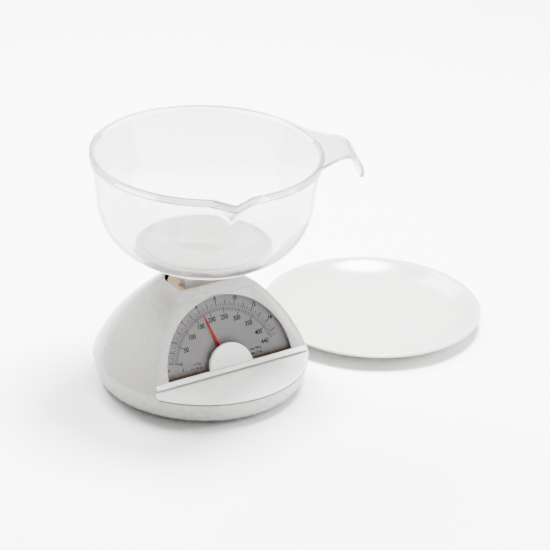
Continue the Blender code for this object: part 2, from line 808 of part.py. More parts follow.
gear_bracket = bridge_plate("gear_bracket", BRIDGE_FRONT_DEPTH, ZINC)
rear_bridge = bridge_plate("rear_bridge", BRIDGE_REAR_DEPTH)
sole_front = on_dial(0, bridge_foot(BRIDGE_FRONT_DEPTH), BRIDGE_FRONT_DEPTH).y - 0.0004
rear_foot = on_dial(0, bridge_foot(BRIDGE_REAR_DEPTH), BRIDGE_REAR_DEPTH + BRIDGE_THICK).y
sole_back = rear_foot + 0.0105
sole = box(
    "bracket_sole",
    (-BRIDGE_HALF_WIDTH, sole_front, FLOOR_TOP + GAP - PEG_OVERLAP),
    (BRIDGE_HALF_WIDTH, sole_back, FLOOR_TOP + GAP + SOLE_THICK),
)
join(gear_bracket, rear_bridge, sole)
floor_shave = box(
    "bracket_shave",
    (-0.05, -0.08, FLOOR_TOP - 0.02),
    (0.05, 0.05, FLOOR_TOP + GAP),
)
rack_slot_end = rack_x + RACK_PLAY
rack_slot = plate(
    "rack_slot",
    [
        [
            (RACK_PLAY, bridge_foot(PINION_DEPTH) - 0.010),
            (rack_slot_end, bridge_foot(PINION_DEPTH) - 0.010),
            (rack_slot_end, rack_low),
            (RACK_PLAY, rack_low),
        ]
    ],
    -(PINION_DEPTH + PINION_WIDTH / 2 + RACK_PLAY),
    -(PINION_DEPTH - PINION_WIDTH / 2 - RACK_PLAY),
    matrix=DIAL_VIEW,
)
cut(gear_bracket, floor_shave, rack_slot)
BRACKET_SCREW_X = BRIDGE_HALF_WIDTH - 0.0040
bracket_screw_y = sole_back - 0.0038

for place, depth in (("front", BRIDGE_FRONT_DEPTH), ("rear", BRIDGE_REAR_DEPTH)):
    plate(
        f"{place}_bush",
        [circle(BUSH_RADIUS, 20), circle(SHAFT_RADIUS + PIN_PLAY / 2, 16)],
        -(depth + BRIDGE_THICK + 0.0004),
        -(depth - 0.0004),
        BRASS,
        matrix=DIAL_VIEW,
    )

# ---------------------------------------------------------------- mechanism frame
frame = box(
    "mechanism_frame",
    (-FRAME_FLOOR_HALF_X, FRAME_FRONT_Y, FRAME_FLOOR_BOTTOM),
    (FRAME_FLOOR_HALF_X, FRAME_REAR_Y, FLOOR_TOP),
    ZINC,
)
cheek_low = FRAME_FLOOR_BOTTOM + SHEET / 2
for side, hand in ((1, "right"), (-1, "left")):
    outline = [
        (PIVOT_Y - 0.0100, cheek_low),
        (PIVOT_Y + 0.0100, cheek_low),
        (PIVOT_Y + 0.0042, UPPER_PIVOT_Z + 0.0036),
        (PIVOT_Y - 0.0042, UPPER_PIVOT_Z + 0.0036),
    ]
    join(frame, side_plate(f"cheek_{hand}", [outline], side * CHEEK_X, SHEET))
adjuster_wall = box(
    "adjuster_wall",
    (SPRING_X - 0.0080, ADJUSTER_WALL_Y, cheek_low),
    (SPRING_X + 0.0080, ADJUSTER_WALL_Y + SHEET, SPRING_Z + 0.0060),
)
join(frame, adjuster_wall)
for name, pivot in (("lower", LOWER_PIVOT), ("upper", UPPER_PIVOT)):
    reach = Vector((CHEEK_X + 0.01, 0, 0))
    bore = rod(f"{name}_pivot_bore", PIN_RADIUS + PIN_PLAY, pivot - reach, pivot + reach)
    cut(frame, bore)
adjuster_bore = rod(
    "adjuster_bore",
    ADJUSTER_RADIUS + PIN_PLAY,
    (SPRING_X, ADJUSTER_WALL_Y - 0.005, SPRING_Z),
    (SPRING_X, ADJUSTER_WALL_Y + 0.008, SPRING_Z),
)
cut(frame, adjuster_bore)

frame_screw_spots = []
for y in (FRAME_FRONT_Y + FRAME_SCREW_INSET, FRAME_REAR_Y - FRAME_SCREW_INSET):
    for side in (1, -1):
        frame_screw_spots.append((side * FRAME_SCREW_X, y))
for spot, (x, y) in enumerate(frame_screw_spots, 1):
    hole = rod(f"frame_hole_{spot}", SCREW_RADIUS + PILOT_PLAY, (x, y, 0.004), (x, y, 0.02), segments=12)
    cut(frame, hole)
for side in (1, -1):
    x = side * BRACKET_SCREW_X
    hole = rod(
        f"bracket_hole_{side + 2}",
        SCREW_RADIUS + PILOT_PLAY,
        (x, bracket_screw_y, FRAME_FLOOR_BOTTOM - 0.001),
        (x, bracket_screw_y, FLOOR_TOP + 0.005),
        segments=12,
    )
    cut(frame, hole)
    cut(gear_bracket, hole)


def screw(name, x, y, seat, direction, length, material=STEEL):
    """A pan-head screw with a cross slot, seated at a height, its shank along -direction."""
    profile = [
        (0.0, SCREW_HEAD_HEIGHT),
        (SCREW_HEAD_RADIUS * 0.75, SCREW_HEAD_HEIGHT),
        (SCREW_HEAD_RADIUS, SCREW_HEAD_HEIGHT * 0.55),
        (SCREW_HEAD_RADIUS, 0.0),
        (SCREW_RADIUS, 0.0),
        (SCREW_RADIUS, -length + SCREW_RADIUS),
        (0.0, -length),
    ]
    matrix = Matrix.Translation((x, y, seat)) @ turned_to((0, 0, direction))
    body = turned(name, profile, material, matrix=matrix, steps=14)
    arm, half_slot = SCREW_HEAD_RADIUS * 0.62, 0.0003
    for turn, (x_reach, y_reach) in enumerate(((half_slot, arm), (arm, half_slot))):
        low = (-x_reach, -y_reach, SCREW_HEAD_HEIGHT * 0.45)
        high = (x_reach, y_reach, SCREW_HEAD_HEIGHT * 3)
        cut(body, box(f"{name}_slot_{turn}", low, high, matrix=matrix))
    return body


for spot, (x, y) in enumerate(frame_screw_spots, 1):
    screw(f"frame_screw_{spot}", x, y, FLOOR_TOP + GAP, 1, 0.0050)
for spot, side in enumerate((1, -1), 1):
    seat = FLOOR_TOP + 2 * GAP + SOLE_THICK
    screw(f"bracket_screw_{spot}", side * BRACKET_SCREW_X, bracket_screw_y, seat, 1, 0.0036)

# ---------------------------------------------------------------- levers, post and pins
def lever(name, pivot, web_y, web_z):
    """Two side arms from the pivot to the post, tied by a web."""
    end = (pivot.y - LEVER_LENGTH, pivot.z)
    bar = stadium((pivot.y, pivot.z), end, ARM_HALF_HEIGHT)
    piece = side_plate(name, [bar], ARM_X, SHEET, ZINC)
    other = side_plate(f"{name}_left_arm", [bar], -ARM_X, SHEET)
    reach = ARM_X + SHEET / 4
    web = box(
        f"{name}_web",
        (-reach, web_y, web_z),
        (reach, web_y + 0.0040, web_z + 0.0024),
    )
    join(piece, web, other)
    return piece


def pin_bore(name, spot, half_length):
    """A cutter along X for a pin's hole."""
    reach = Vector((half_length, 0, 0))
    return rod(name, PIN_RADIUS + PIN_PLAY, spot - reach, spot + reach)


lower_lever = lever("lower_lever", LOWER_PIVOT, PIVOT_Y - 0.0115, LOWER_PIVOT_Z - 0.0012)
upper_lever = lever("upper_lever", UPPER_PIVOT, PIVOT_Y - 0.0115, UPPER_PIVOT_Z - 0.0012)

web_middle = (PIVOT_Y - 0.0095, LOWER_PIVOT_Z)
crank_start = LOWER_PIVOT + OUT_OF_DIAL * 0.0090
crank = side_plate(
    "crank_arm",
    [stadium((crank_start.y, crank_start.z), (CRANK_END.y, CRANK_END.z), CRANK_HALF_WIDTH)],
    CRANK_X,
    CRANK_THICK,
)
crank_root = side_plate(
    "crank_root",
    [stadium(web_middle, (crank_start.y, crank_start.z + 0.0015), 0.0020)],
    CRANK_X,
    CRANK_THICK - 0.0002,
)
horn = side_plate(
    "spring_horn",
    [stadium(web_middle, (SPRING_HORN.y, SPRING_HORN.z), 0.0024)],
    SPRING_X,
    CRANK_THICK,
)
join(lower_lever, crank_root, crank, horn)
horn_eye = rod(
    "horn_eye",
    SPRING_WIRE + 0.0008,
    SPRING_HORN - Vector((0.004, 0, 0)),
    SPRING_HORN + Vector((0.004, 0, 0)),
    segments=12,
)
pin_reach = CHEEK_X + 0.01
lower_hub_bore = pin_bore("lower_lever_pivot_bore", LOWER_PIVOT, pin_reach)
crank_bore = rod(
    "crank_bore",
    PIN_RADIUS + PIN_PLAY,
    CRANK_END + Vector((CRANK_X - 0.003, 0, 0)),
    CRANK_END + Vector((CRANK_X + 0.003, 0, 0)),
)
cut(lower_lever, lower_hub_bore, pin_bore("lower_lever_post_bore", POST_LOWER, pin_reach))
cut(lower_lever, horn_eye, crank_bore)
cut(upper_lever, pin_bore("upper_lever_pivot_bore", UPPER_PIVOT, pin_reach))
cut(upper_lever, pin_bore("upper_lever_post_bore", POST_UPPER, pin_reach))

cheek_face = CHEEK_X + SHEET / 2 + 0.0012
arm_face = ARM_X + SHEET / 2 + 0.0010
for name, spot, reach in (
    ("lower_pivot_pin", LOWER_PIVOT, cheek_face),
    ("upper_pivot_pin", UPPER_PIVOT, cheek_face),
    ("post_lower_pin", POST_LOWER, arm_face),
    ("post_upper_pin", POST_UPPER, arm_face),
):
    rod(name, PIN_RADIUS, spot - Vector((reach, 0, 0)), spot + Vector((reach, 0, 0)), STEEL)
rod(
    "crank_pin",
    PIN_RADIUS,
    CRANK_END + Vector((root_x + 0.0004, 0, 0)),
    CRANK_END + Vector((CRANK_X + CRANK_THICK / 2 + 0.0006, 0, 0)),
    STEEL,
)

leg_low = POST_LOWER.z - 0.0036
leg = [
    (-POST_HALF_Y, leg_low),
    (POST_HALF_Y, leg_low),
    (POST_HALF_Y, POST_WEB_Z + 0.002),
    (-POST_HALF_Y, POST_WEB_Z + 0.002),
]
post = box(
    "platform_post",
    (-STEM_HALF_X - SHEET / 2, -POST_HALF_Y + 0.0002, POST_WEB_Z),
    (STEM_HALF_X + SHEET / 2, POST_HALF_Y - 0.0002, STEM_TOP),
    WHITE,
)
for side, hand in ((1, "right"), (-1, "left")):
    shifted = [(y + POST_LOWER.y, z) for y, z in leg]
    join(post, side_plate(f"leg_{hand}", [shifted], side * LEG_X, SHEET - 0.0001))
cut(post, pin_bore("post_lower_bore", POST_LOWER, pin_reach))
cut(post, pin_bore("post_upper_bore", POST_UPPER, pin_reach))

# ---------------------------------------------------------------- platform
disc_top = PLATFORM_TOP + PLATFORM_STEP
centre_radius = BOWL_FOOT_RADIUS - BOWL_FOOT_WIDTH - 0.0004
platform = turned(
    "platform",
    [
        (0.0, disc_top),
        (centre_radius - 0.0006, disc_top),
        (centre_radius, disc_top - 0.0006),
        (centre_radius, PLATFORM_TOP),
        (PLATFORM_RADIUS - 0.0006, PLATFORM_TOP),
        (PLATFORM_RADIUS, PLATFORM_TOP - 0.0006),
        (PLATFORM_RADIUS, PLATFORM_TOP - PLATFORM_THICK),
        (centre_radius - 0.002, PLATFORM_TOP - PLATFORM_THICK),
        (centre_radius - 0.0022, disc_top - PLATFORM_THICK),
        (0.0, disc_top - PLATFORM_THICK),
    ],
    WHITE,
    steps=48,
)
socket_x = STEM_HALF_X + SHEET / 2 + GAP
socket_y = POST_HALF_Y - 0.0002 + GAP
socket_top = disc_top - PLATFORM_THICK
socket = box(
    "platform_socket",
    (-socket_x - SOCKET_WALL, -socket_y - SOCKET_WALL, socket_top - SOCKET_DEPTH),
    (socket_x + SOCKET_WALL, socket_y + SOCKET_WALL, socket_top + PEG_OVERLAP),
)
socket_room = box(
    "socket_room",
    (-socket_x, -socket_y, socket_top - SOCKET_DEPTH - 0.002),
    (socket_x, socket_y, STEM_TOP + GAP),
)
join(platform, socket)
cut(platform, socket_room)

# ---------------------------------------------------------------- main spring and zero adjuster
def coil_points():
    """A close-wound helix along Y with a hook at each end, every point worked out from its turn."""
    wire = SPRING_WIRE
    start_y = SPRING_HORN.y + 0.0042
    end_y = ANCHOR_Y - ANCHOR_THICK / 2 - 0.0012
    per_turn = 8
    spots = [(SPRING_X, SPRING_HORN.y + 0.0029, SPRING_Z)]
    total = SPRING_TURNS * per_turn
    for step in range(total + 1):
        angle = math.tau * step / per_turn
        y = start_y + (end_y - start_y) * step / total
        x = SPRING_X + (SPRING_RADIUS - wire) * math.sin(angle)
        z = SPRING_Z + (SPRING_RADIUS - wire) * math.cos(angle)
        spots.append((x, y, z))
    spots.append((SPRING_X, end_y + 0.0008, SPRING_Z))
    return spots


def wire_object(name, spots, radius, material):
    """A round wire through points, as one closed mesh."""
    curve = bpy.data.curves.new(name, "CURVE")
    curve.dimensions = "3D"
    curve.bevel_depth = radius
    curve.bevel_resolution = 1
    curve.use_fill_caps = True
    spline = curve.splines.new("POLY")
    spline.points.add(len(spots) - 1)
    for point, spot in zip(spline.points, spots):
        point.co = (*spot, 1)
    obj = bpy.data.objects.new(name, curve)
    pieces.objects.link(obj)
    curve.materials.append(material)
    obj.parent = AXES["scale_axis"]
    return obj


wire_object("main_spring", coil_points(), SPRING_WIRE, STEEL)

anchor_half = 0.0042
anchor_low = ANCHOR_Y - ANCHOR_THICK / 2
anchor = box(
    "spring_anchor",
    (SPRING_X - anchor_half, anchor_low, SPRING_Z - anchor_half),
    (SPRING_X + anchor_half, anchor_low + ANCHOR_THICK, SPRING_Z + anchor_half),
    BRASS,
)
anchor_bore = rod(
    "anchor_bore",
    ADJUSTER_RADIUS + PIN_PLAY,
    (SPRING_X, anchor_low + 0.0012, SPRING_Z),
    (SPRING_X, anchor_low + ANCHOR_THICK + 0.004, SPRING_Z),
)
cut(anchor, anchor_bore)
rod(
    "zero_screw",
    ADJUSTER_RADIUS,
    (SPRING_X, anchor_low + 0.0024, SPRING_Z),
    (SPRING_X, KNOB_FROM_Y + 0.0070, SPRING_Z),
    STEEL,
)
knob = turned(
    "zero_knob",
    [
        (0.0, KNOB_LENGTH),
        (KNOB_RADIUS - 0.0014, KNOB_LENGTH),
        (KNOB_RADIUS - 0.0004, KNOB_LENGTH - 0.0010),
        (KNOB_RADIUS - 0.0004, 0.0),
        (0.0, 0.0),
    ],
    WHITE,
    matrix=Matrix.Translation((SPRING_X, KNOB_FROM_Y, SPRING_Z)) @ turned_to((0, 1, 0)),
    steps=KNOB_RIBS * 2,
)
knob_bore = rod(
    "knob_bore",
    ADJUSTER_RADIUS + GAP / 2,
    (SPRING_X, KNOB_FROM_Y - 0.002, SPRING_Z),
    (SPRING_X, KNOB_FROM_Y + 0.0070 + GAP, SPRING_Z),
)
grip = []
for rib in range(KNOB_RIBS):
    for share, radius in ((0.0, KNOB_RADIUS), (0.5, KNOB_RADIUS - 0.0006)):
        angle = math.tau * (rib + share) / KNOB_RIBS
        grip.append((radius * math.cos(angle), radius * math.sin(angle)))
grip_form = plate(
    "knob_grip",
    [grip],
    0.0045,
    KNOB_LENGTH - 0.0014,
    matrix=Matrix.Translation((SPRING_X, KNOB_FROM_Y, SPRING_Z)) @ turned_to((0, 1, 0)),
)
join(knob, grip_form)
cut(knob, knob_bore)

# ---------------------------------------------------------------- apron
apron_low = SHELF_HEIGHT + GAP


def segment(radius, back):
    """The part of a disc in front of a line across it."""
    start = math.asin(-back / radius)
    return arc(radius, -start, -math.pi + start, 32)


apron_back = face_y(APRON_BACK_TOP)
apron_foot = face_y(apron_low) - GAP
apron = plate("front_apron", [segment(WAIST_RADIUS, apron_back)], apron_low, 0.030, APRON_WHITE)
slope = math.atan2(APRON_BACK_TOP - APRON_FRONT_TOP, WAIST_RADIUS + apron_back)
apron_tilt = Matrix.Translation((0, -WAIST_RADIUS, APRON_FRONT_TOP)) @ Matrix.Rotation(slope, 4, "X")
apron_top = box("apron_top_cut", (-0.2, -0.1, 0), (0.2, 0.2, 0.05), matrix=apron_tilt)
pocket = plate(
    "apron_pocket",
    [segment(WAIST_RADIUS - APRON_SKIN * 1.4, apron_foot - APRON_SKIN * 1.3)],
    -0.02,
    -APRON_SKIN,
    matrix=apron_tilt @ Matrix.Translation((0, WAIST_RADIUS, 0)),
)
behind_face = box("behind_face", (-0.1, -0.1, -0.1), (0.1, 0.1, GAP), matrix=DIAL_VIEW)
cut(apron, apron_top, pocket, behind_face)
apron_edge = apron.modifiers.new("edge", "BEVEL")
apron_edge.width = 0.0006
apron_edge.segments = 2
apron_edge.limit_method = "ANGLE"
apron_edge.angle_limit = math.radians(60)

# ---------------------------------------------------------------- base plate, feet and screws
base_radius = hull_radius(HULL_BOTTOM) - WALL - GAP
base = turned(
    "base_plate",
    [
        (0.0, BASE_TOP),
        (base_radius, BASE_TOP),
        (base_radius, BASE_BOTTOM),
        (0.0, BASE_BOTTOM),
    ],
    WHITE,
    steps=56,
)
standoff_top = FRAME_FLOOR_BOTTOM - GAP
for spot, (x, y) in enumerate(frame_screw_spots, 1):
    standoff = rod(
        f"standoff_{spot}", BOSS_RADIUS, (x, y, BASE_TOP - PEG_OVERLAP), (x, y, standoff_top), segments=16
    )
    join(base, standoff)
for spot, (x, y) in enumerate(frame_screw_spots, 1):
    low = BASE_BOTTOM + 0.0008
    pilot = rod(
        f"standoff_pilot_{spot}",
        SCREW_RADIUS + PILOT_PLAY,
        (x, y, low),
        (x, y, FRAME_FLOOR_BOTTOM + SHEET),
        segments=12,
    )
    cut(base, pilot)

head_room = SCREW_HEAD_RADIUS + GAP
for side, hand in ((1, "right"), (-1, "left")):
    for spot, (x, y) in enumerate(BOSS_SPOTS, 1):
        x = side * x
        seat = BASE_BOTTOM + SCREW_HEAD_HEIGHT * 0.9
        below, above = (x, y, -0.01), (x, y, 0.01)
        head_seat = rod(f"seat_{hand}_{spot}", head_room, below, (x, y, seat), segments=20)
        shank = rod(f"clear_{hand}_{spot}", SCREW_RADIUS + PILOT_PLAY, below, above, segments=12)
        cut(base, head_seat, shank)
        screw(f"base_screw_{hand}_{spot}", x, y, seat - GAP, -1, SCREW_LENGTH)

for number, angle in enumerate((45, 135, 225, 315), 1):
    x = FOOT_CIRCLE * math.cos(math.radians(angle))
    y = FOOT_CIRCLE * math.sin(math.radians(angle))
    roof = BASE_BOTTOM + FOOT_SEAT
    cut(base, rod(f"foot_seat_{number}", FOOT_RADIUS + GAP, (x, y, -0.01), (x, y, roof), segments=24))
    turned(
        f"rubber_foot_{number}",
        [
            (0.0, roof - GAP),
            (FOOT_RADIUS, roof - GAP),
            (FOOT_RADIUS, 0.0006),
            (FOOT_RADIUS - 0.0006, 0.0),
            (0.0, 0.0),
        ],
        RUBBER,
        matrix=Matrix.Translation((x, y, 0)),
        steps=24,
    )

# ---------------------------------------------------------------- bowl
def bowl_outer(height):
    """Outer radius of the bowl at a height above its foot."""
    if height <= BOWL_BULGE_RISE:
        drop = 1 - height / BOWL_BULGE_RISE
        share = (1 - drop**BOWL_BULGE_POWER) ** (1 / BOWL_BULGE_POWER)
        return BOWL_FOOT_RADIUS + (BOWL_BULGE_RADIUS - BOWL_FOOT_RADIUS) * share
    climb = (height - BOWL_BULGE_RISE) / (BOWL_HEIGHT - BOWL_BULGE_RISE)
    return BOWL_BULGE_RADIUS + (BOWL_RIM_RADIUS - BOWL_BULGE_RADIUS) * climb**BOWL_FLARE_POWER


def bowl_slope(height):
    """Unit normal of the outer wall, (outward, up), from its slope."""
    step = 1e-4
    low, high = max(height - step, 0.0), min(height + step, BOWL_HEIGHT)
    run = (bowl_outer(high) - bowl_outer(low)) / (high - low)
    length = math.hypot(1, run)
    return 1 / length, -run / length


def bowl_inner_point(height):
    """The point of the inner wall square behind the outer wall at a height."""
    out, up = bowl_slope(height)
    return bowl_outer(height) - BOWL_WALL * out, height - BOWL_WALL * up


floor_under = PLATFORM_STEP
floor_top = floor_under + BOWL_WALL
wall_heights = [0.0008, 0.0025, 0.0055, 0.0095, 0.015, 0.023, 0.036, 0.052]
outer_wall = [(bowl_outer(z), z) for z in wall_heights]
inner_wall = [bowl_inner_point(z) for z in wall_heights[2:]]
inner_wall = [(radius, z) for radius, z in inner_wall if z > floor_top + 0.0006]
rim_inner = BOWL_RIM_RADIUS - BOWL_WALL
bowl_profile = [(0.0, floor_top), (inner_wall[0][0] - 0.0045, floor_top)] + inner_wall
bowl_profile += [(rim_inner, BOWL_HEIGHT - 0.0006), (rim_inner + 0.0006, BOWL_HEIGHT)]
bowl_profile += [(BOWL_RIM_RADIUS - 0.0006, BOWL_HEIGHT), (BOWL_RIM_RADIUS, BOWL_HEIGHT - 0.0006)]
bowl_profile += list(reversed(outer_wall))
bowl_profile += [(BOWL_FOOT_RADIUS - 0.0004, 0.0), (BOWL_FOOT_RADIUS - BOWL_FOOT_WIDTH, 0.0)]
bowl_profile += [(BOWL_FOOT_RADIUS - BOWL_FOOT_WIDTH, floor_under), (0.0, floor_under)]
bowl_matrix = Matrix.Translation((0, 0, BOWL_BASE))
bowl = turned("bowl", bowl_profile, CLEAR, matrix=bowl_matrix, steps=48)


def polar(angle, radius, height):
    """A point round the bowl's axis."""
    return Vector((radius * math.cos(angle), radius * math.sin(angle), height))


def wedge(name, reach, half_angle, drop, top, inner):
    """A four-cornered spout form with its edge running from the tip down to the wall."""
    start = bowl_outer(BOWL_HEIGHT) - inner
    low_radius = bowl_outer(BOWL_HEIGHT - drop) - inner
    tip = polar(SPOUT_ANGLE, reach, top)
    left = polar(SPOUT_ANGLE - half_angle, start, top)
    right = polar(SPOUT_ANGLE + half_angle, start, top)
    low = polar(SPOUT_ANGLE, low_radius, BOWL_HEIGHT - drop)
    behind_left = polar(SPOUT_ANGLE - half_angle, start - BOWL_WALL * 0.7, top)
    behind_right = polar(SPOUT_ANGLE + half_angle, start - BOWL_WALL * 0.7, top)
    behind_low = polar(SPOUT_ANGLE, low_radius - BOWL_WALL * 0.7, BOWL_HEIGHT - drop)
    bm = bmesh.new()
    for point in (tip, left, right, low, behind_left, behind_right, behind_low):
        bm.verts.new(point)
    bmesh.ops.convex_hull(bm, input=bm.verts)
    return add_object(name, mesh_from(name, bm), matrix=bowl_matrix)


spout_outer = wedge("spout_outer", SPOUT_REACH, SPOUT_HALF_ANGLE, SPOUT_DROP, BOWL_HEIGHT - 0.0001, 0.0004)
spout_inner = wedge(
    "spout_inner",
    SPOUT_REACH - BOWL_WALL * 1.5,
    SPOUT_HALF_ANGLE * 0.80,
    SPOUT_DROP * 0.80,
    BOWL_HEIGHT + 0.0010,
    BOWL_WALL * 0.9,
)

handle_root = BOWL_RIM_RADIUS * math.cos(HANDLE_HALF_ANGLE)
root_half = BOWL_RIM_RADIUS * math.sin(HANDLE_HALF_ANGLE)
hook_reach = HANDLE_BEND_REACH + HOOK_RADIUS + HANDLE_THICK


def handle_half_width(reach):
    """Half the handle's width at a distance from the bowl's axis: it draws in towards the bend."""
    share = min(1.0, (reach - handle_root) / (HANDLE_BEND_REACH - handle_root))
    return root_half + (HANDLE_END_HALF - root_half) * share**0.8


reaches = [handle_root + (HANDLE_BEND_REACH - handle_root) * step / 6 for step in range(7)]
plan = [(reach, -handle_half_width(reach)) for reach in reaches]
plan += arc(0.006, -math.pi / 2, 0, 3, (hook_reach - 0.004, -HANDLE_END_HALF + 0.006))
plan += [(x, -y) for x, y in reversed(plan)]
inner_edge = arc(BOWL_RIM_RADIUS - BOWL_WALL * 0.6, HANDLE_HALF_ANGLE, -HANDLE_HALF_ANGLE, 12)
handle_turn = bowl_matrix @ Matrix.Rotation(HANDLE_ANGLE, 4, "Z")
handle_plan = plate("handle_plan", [plan + inner_edge], 0.0, BOWL_HEIGHT + 0.01, matrix=handle_turn)

top = BOWL_HEIGHT - 0.0002
bend = (HANDLE_BEND_REACH, top - HOOK_RADIUS - HANDLE_THICK)
outer_bend = arc(HOOK_RADIUS + HANDLE_THICK, math.pi / 2, 0, 8, bend)
inner_bend = arc(HOOK_RADIUS, 0, math.pi / 2, 8, bend)
side = [(0.05, top)] + outer_bend + [(outer_bend[-1][0], bend[1] - HOOK_DROP)]
side += [(inner_bend[0][0], bend[1] - HOOK_DROP)] + inner_bend + [(0.05, top - HANDLE_THICK)]
# The handle's side view is drawn as (outward, up) and filled across.
across = Matrix(((1, 0, 0, 0), (0, 0, -1, 0), (0, 1, 0, 0), (0, 0, 0, 1)))
handle = plate("handle_side", [side], -0.06, 0.06, matrix=handle_turn @ across)
boolean(handle, handle_plan, "INTERSECT")
join(bowl, spout_outer, handle)
cut(bowl, spout_inner)

# ---------------------------------------------------------------- dish
dish_profile = [
    (0.0, DISH_WALL + 0.0008),
    (DISH_FOOT_RADIUS - 0.006, DISH_WALL + 0.0008),
    (DISH_FOOT_RADIUS + 0.002, DISH_WALL + 0.0016),
    (DISH_FOOT_RADIUS + 0.010, DISH_WALL + 0.0046),
    (DISH_RADIUS - 0.0095, DISH_HEIGHT - 0.0026),
    (DISH_RADIUS - 0.0045, DISH_HEIGHT - 0.0006),
    (DISH_RADIUS - 0.0020, DISH_HEIGHT),
    (DISH_RADIUS - 0.0006, DISH_HEIGHT - 0.0004),
    (DISH_RADIUS, DISH_HEIGHT - 0.0014),
    (DISH_RADIUS - 0.0006, DISH_HEIGHT - 0.0022),
    (DISH_RADIUS - 0.0030, DISH_HEIGHT - 0.0029),
    (DISH_RADIUS - 0.0085, DISH_HEIGHT - 0.0055),
    (DISH_FOOT_RADIUS + 0.010, 0.0040),
    (DISH_FOOT_RADIUS + 0.002, 0.0016),
    (DISH_FOOT_RADIUS, 0.0),
    (DISH_FOOT_RADIUS - 0.0025, 0.0),
    (DISH_FOOT_RADIUS - 0.0033, 0.0008),
    (0.0, 0.0008),
]
turned("dish", dish_profile, DISH_WHITE, axis="dish_axis", steps=48)
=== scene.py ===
"""Looks of a small mechanical kitchen scale with its pouring bowl and dish.

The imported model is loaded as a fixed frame. Each sub-assembly is a class that works its visible
surfaces out as numpy grids in the frame's metres, dresses them in procedural finishes and hangs
them on the frame's bodies. Inner pieces keep the frame's own shapes, merged and softly shaded.
"""

import json
import logging
import math
from dataclasses import dataclass
from enum import Enum
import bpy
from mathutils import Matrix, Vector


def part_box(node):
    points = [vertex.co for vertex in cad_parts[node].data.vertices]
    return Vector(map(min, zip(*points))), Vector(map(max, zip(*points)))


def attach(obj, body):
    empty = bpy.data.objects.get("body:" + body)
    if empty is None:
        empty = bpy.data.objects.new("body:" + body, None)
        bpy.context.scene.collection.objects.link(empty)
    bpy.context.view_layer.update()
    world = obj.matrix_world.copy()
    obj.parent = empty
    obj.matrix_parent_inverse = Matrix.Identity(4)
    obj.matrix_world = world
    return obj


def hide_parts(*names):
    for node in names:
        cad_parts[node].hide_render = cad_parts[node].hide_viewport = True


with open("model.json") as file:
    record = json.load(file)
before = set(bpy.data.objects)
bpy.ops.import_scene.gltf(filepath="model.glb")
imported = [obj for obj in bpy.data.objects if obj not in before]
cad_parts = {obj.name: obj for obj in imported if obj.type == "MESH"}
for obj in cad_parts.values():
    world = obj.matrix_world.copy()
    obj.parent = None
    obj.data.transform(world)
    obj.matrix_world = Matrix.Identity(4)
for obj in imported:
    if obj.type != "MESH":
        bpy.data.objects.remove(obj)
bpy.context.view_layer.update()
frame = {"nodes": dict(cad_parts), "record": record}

import bpy
import numpy as np
from mathutils import Matrix, Vector

LOG = logging.getLogger("kitchen_scale")
Array = np.ndarray
MERGE = 1e-7
PLASTIC_INDEX = 1.5
CUT_PAST = 0.02


class Body(Enum):
    """Bodies of the frame that the visible pieces ride on."""

    BASE = "base"
    POST = "post"
    POINTER = "pointer"
    KNOB = "zero_knob"
    BOWL = "bowl"
    DISH = "dish"


class Wrap(Enum):
    """How a grid of points closes on itself."""

    NONE = (False, False)
    AROUND = (True, False)
    BOTH = (True, True)


# ------------------------------------------------------------------------------- finishes
class NodeBoard:
    """A material's node tree with short calls to add and link nodes."""

    def __init__(self, name: str) -> None:
        """Starts a material that holds one Principled shader.

        Args:
            name: the material's name.
        """
        self.material = bpy.data.materials.new(name)
        self.material.use_nodes = True
        self.tree = self.material.node_tree
        self.shader = self.tree.nodes["Principled BSDF"]
        self.place = self.add("ShaderNodeTexCoord").outputs["Object"]

    def add(self, kind: str, **values: object) -> bpy.types.Node:
        """Adds a node and sets its input sockets.

        Args:
            kind: the node's type name.
            values: a value for each named socket, with underscores for spaces.

        Returns:
            The new node.
        """
        node = self.tree.nodes.new(kind)
        for socket, value in values.items():
            node.inputs[socket.replace("_", " ")].default_value = value
        return node

    def link(self, source: bpy.types.NodeSocket, node: bpy.types.Node, socket: str) -> None:
        """Joins an output to a node's named input."""
        self.tree.links.new(source, node.inputs[socket])

    def noise(
        self, scale: float, detail: float = 3.0, stretch: tuple = (1, 1, 1)
    ) -> bpy.types.NodeSocket:
        """Noise in object space.

        Args:
            scale: waves per metre.
            detail: octaves.
            stretch: how much the pattern is pressed along each axis.

        Returns:
            The noise's factor output.
        """
        mapping = self.add("ShaderNodeMapping", Scale=stretch)
        self.link(self.place, mapping, "Vector")
        noise = self.add("ShaderNodeTexNoise", Scale=scale, Detail=detail)
        self.link(mapping.outputs["Vector"], noise, "Vector")
        return noise.outputs["Fac"]

    def spread(self, source: bpy.types.NodeSocket, low: float, high: float) -> bpy.types.NodeSocket:
        """Maps a noise's middle range onto low to high."""
        span = self.add("ShaderNodeMapRange", To_Min=low, To_Max=high)
        span.inputs["From Min"].default_value = 0.3
        span.inputs["From Max"].default_value = 0.7
        self.link(source, span, "Value")
        return span.outputs["Result"]

    def tint(self, factor: bpy.types.NodeSocket, first: tuple, second: tuple) -> bpy.types.NodeSocket:
        """Blends two colours by a factor."""
        ramp = self.add("ShaderNodeValToRGB")
        ramp.color_ramp.elements[0].color = (*first, 1)
        ramp.color_ramp.elements[0].position = 0.3
        ramp.color_ramp.elements[1].color = (*second, 1)
        ramp.color_ramp.elements[1].position = 0.7
        self.link(factor, ramp, "Fac")
        return ramp.outputs["Color"]

    def relief(self, height: bpy.types.NodeSocket, depth: float, strength: float) -> None:
        """Fine relief of a depth in metres on the shader's normal."""
        bump = self.add("ShaderNodeBump", Strength=strength, Distance=depth)
        self.link(height, bump, "Height")
        self.link(bump.outputs["Normal"], self.shader, "Normal")


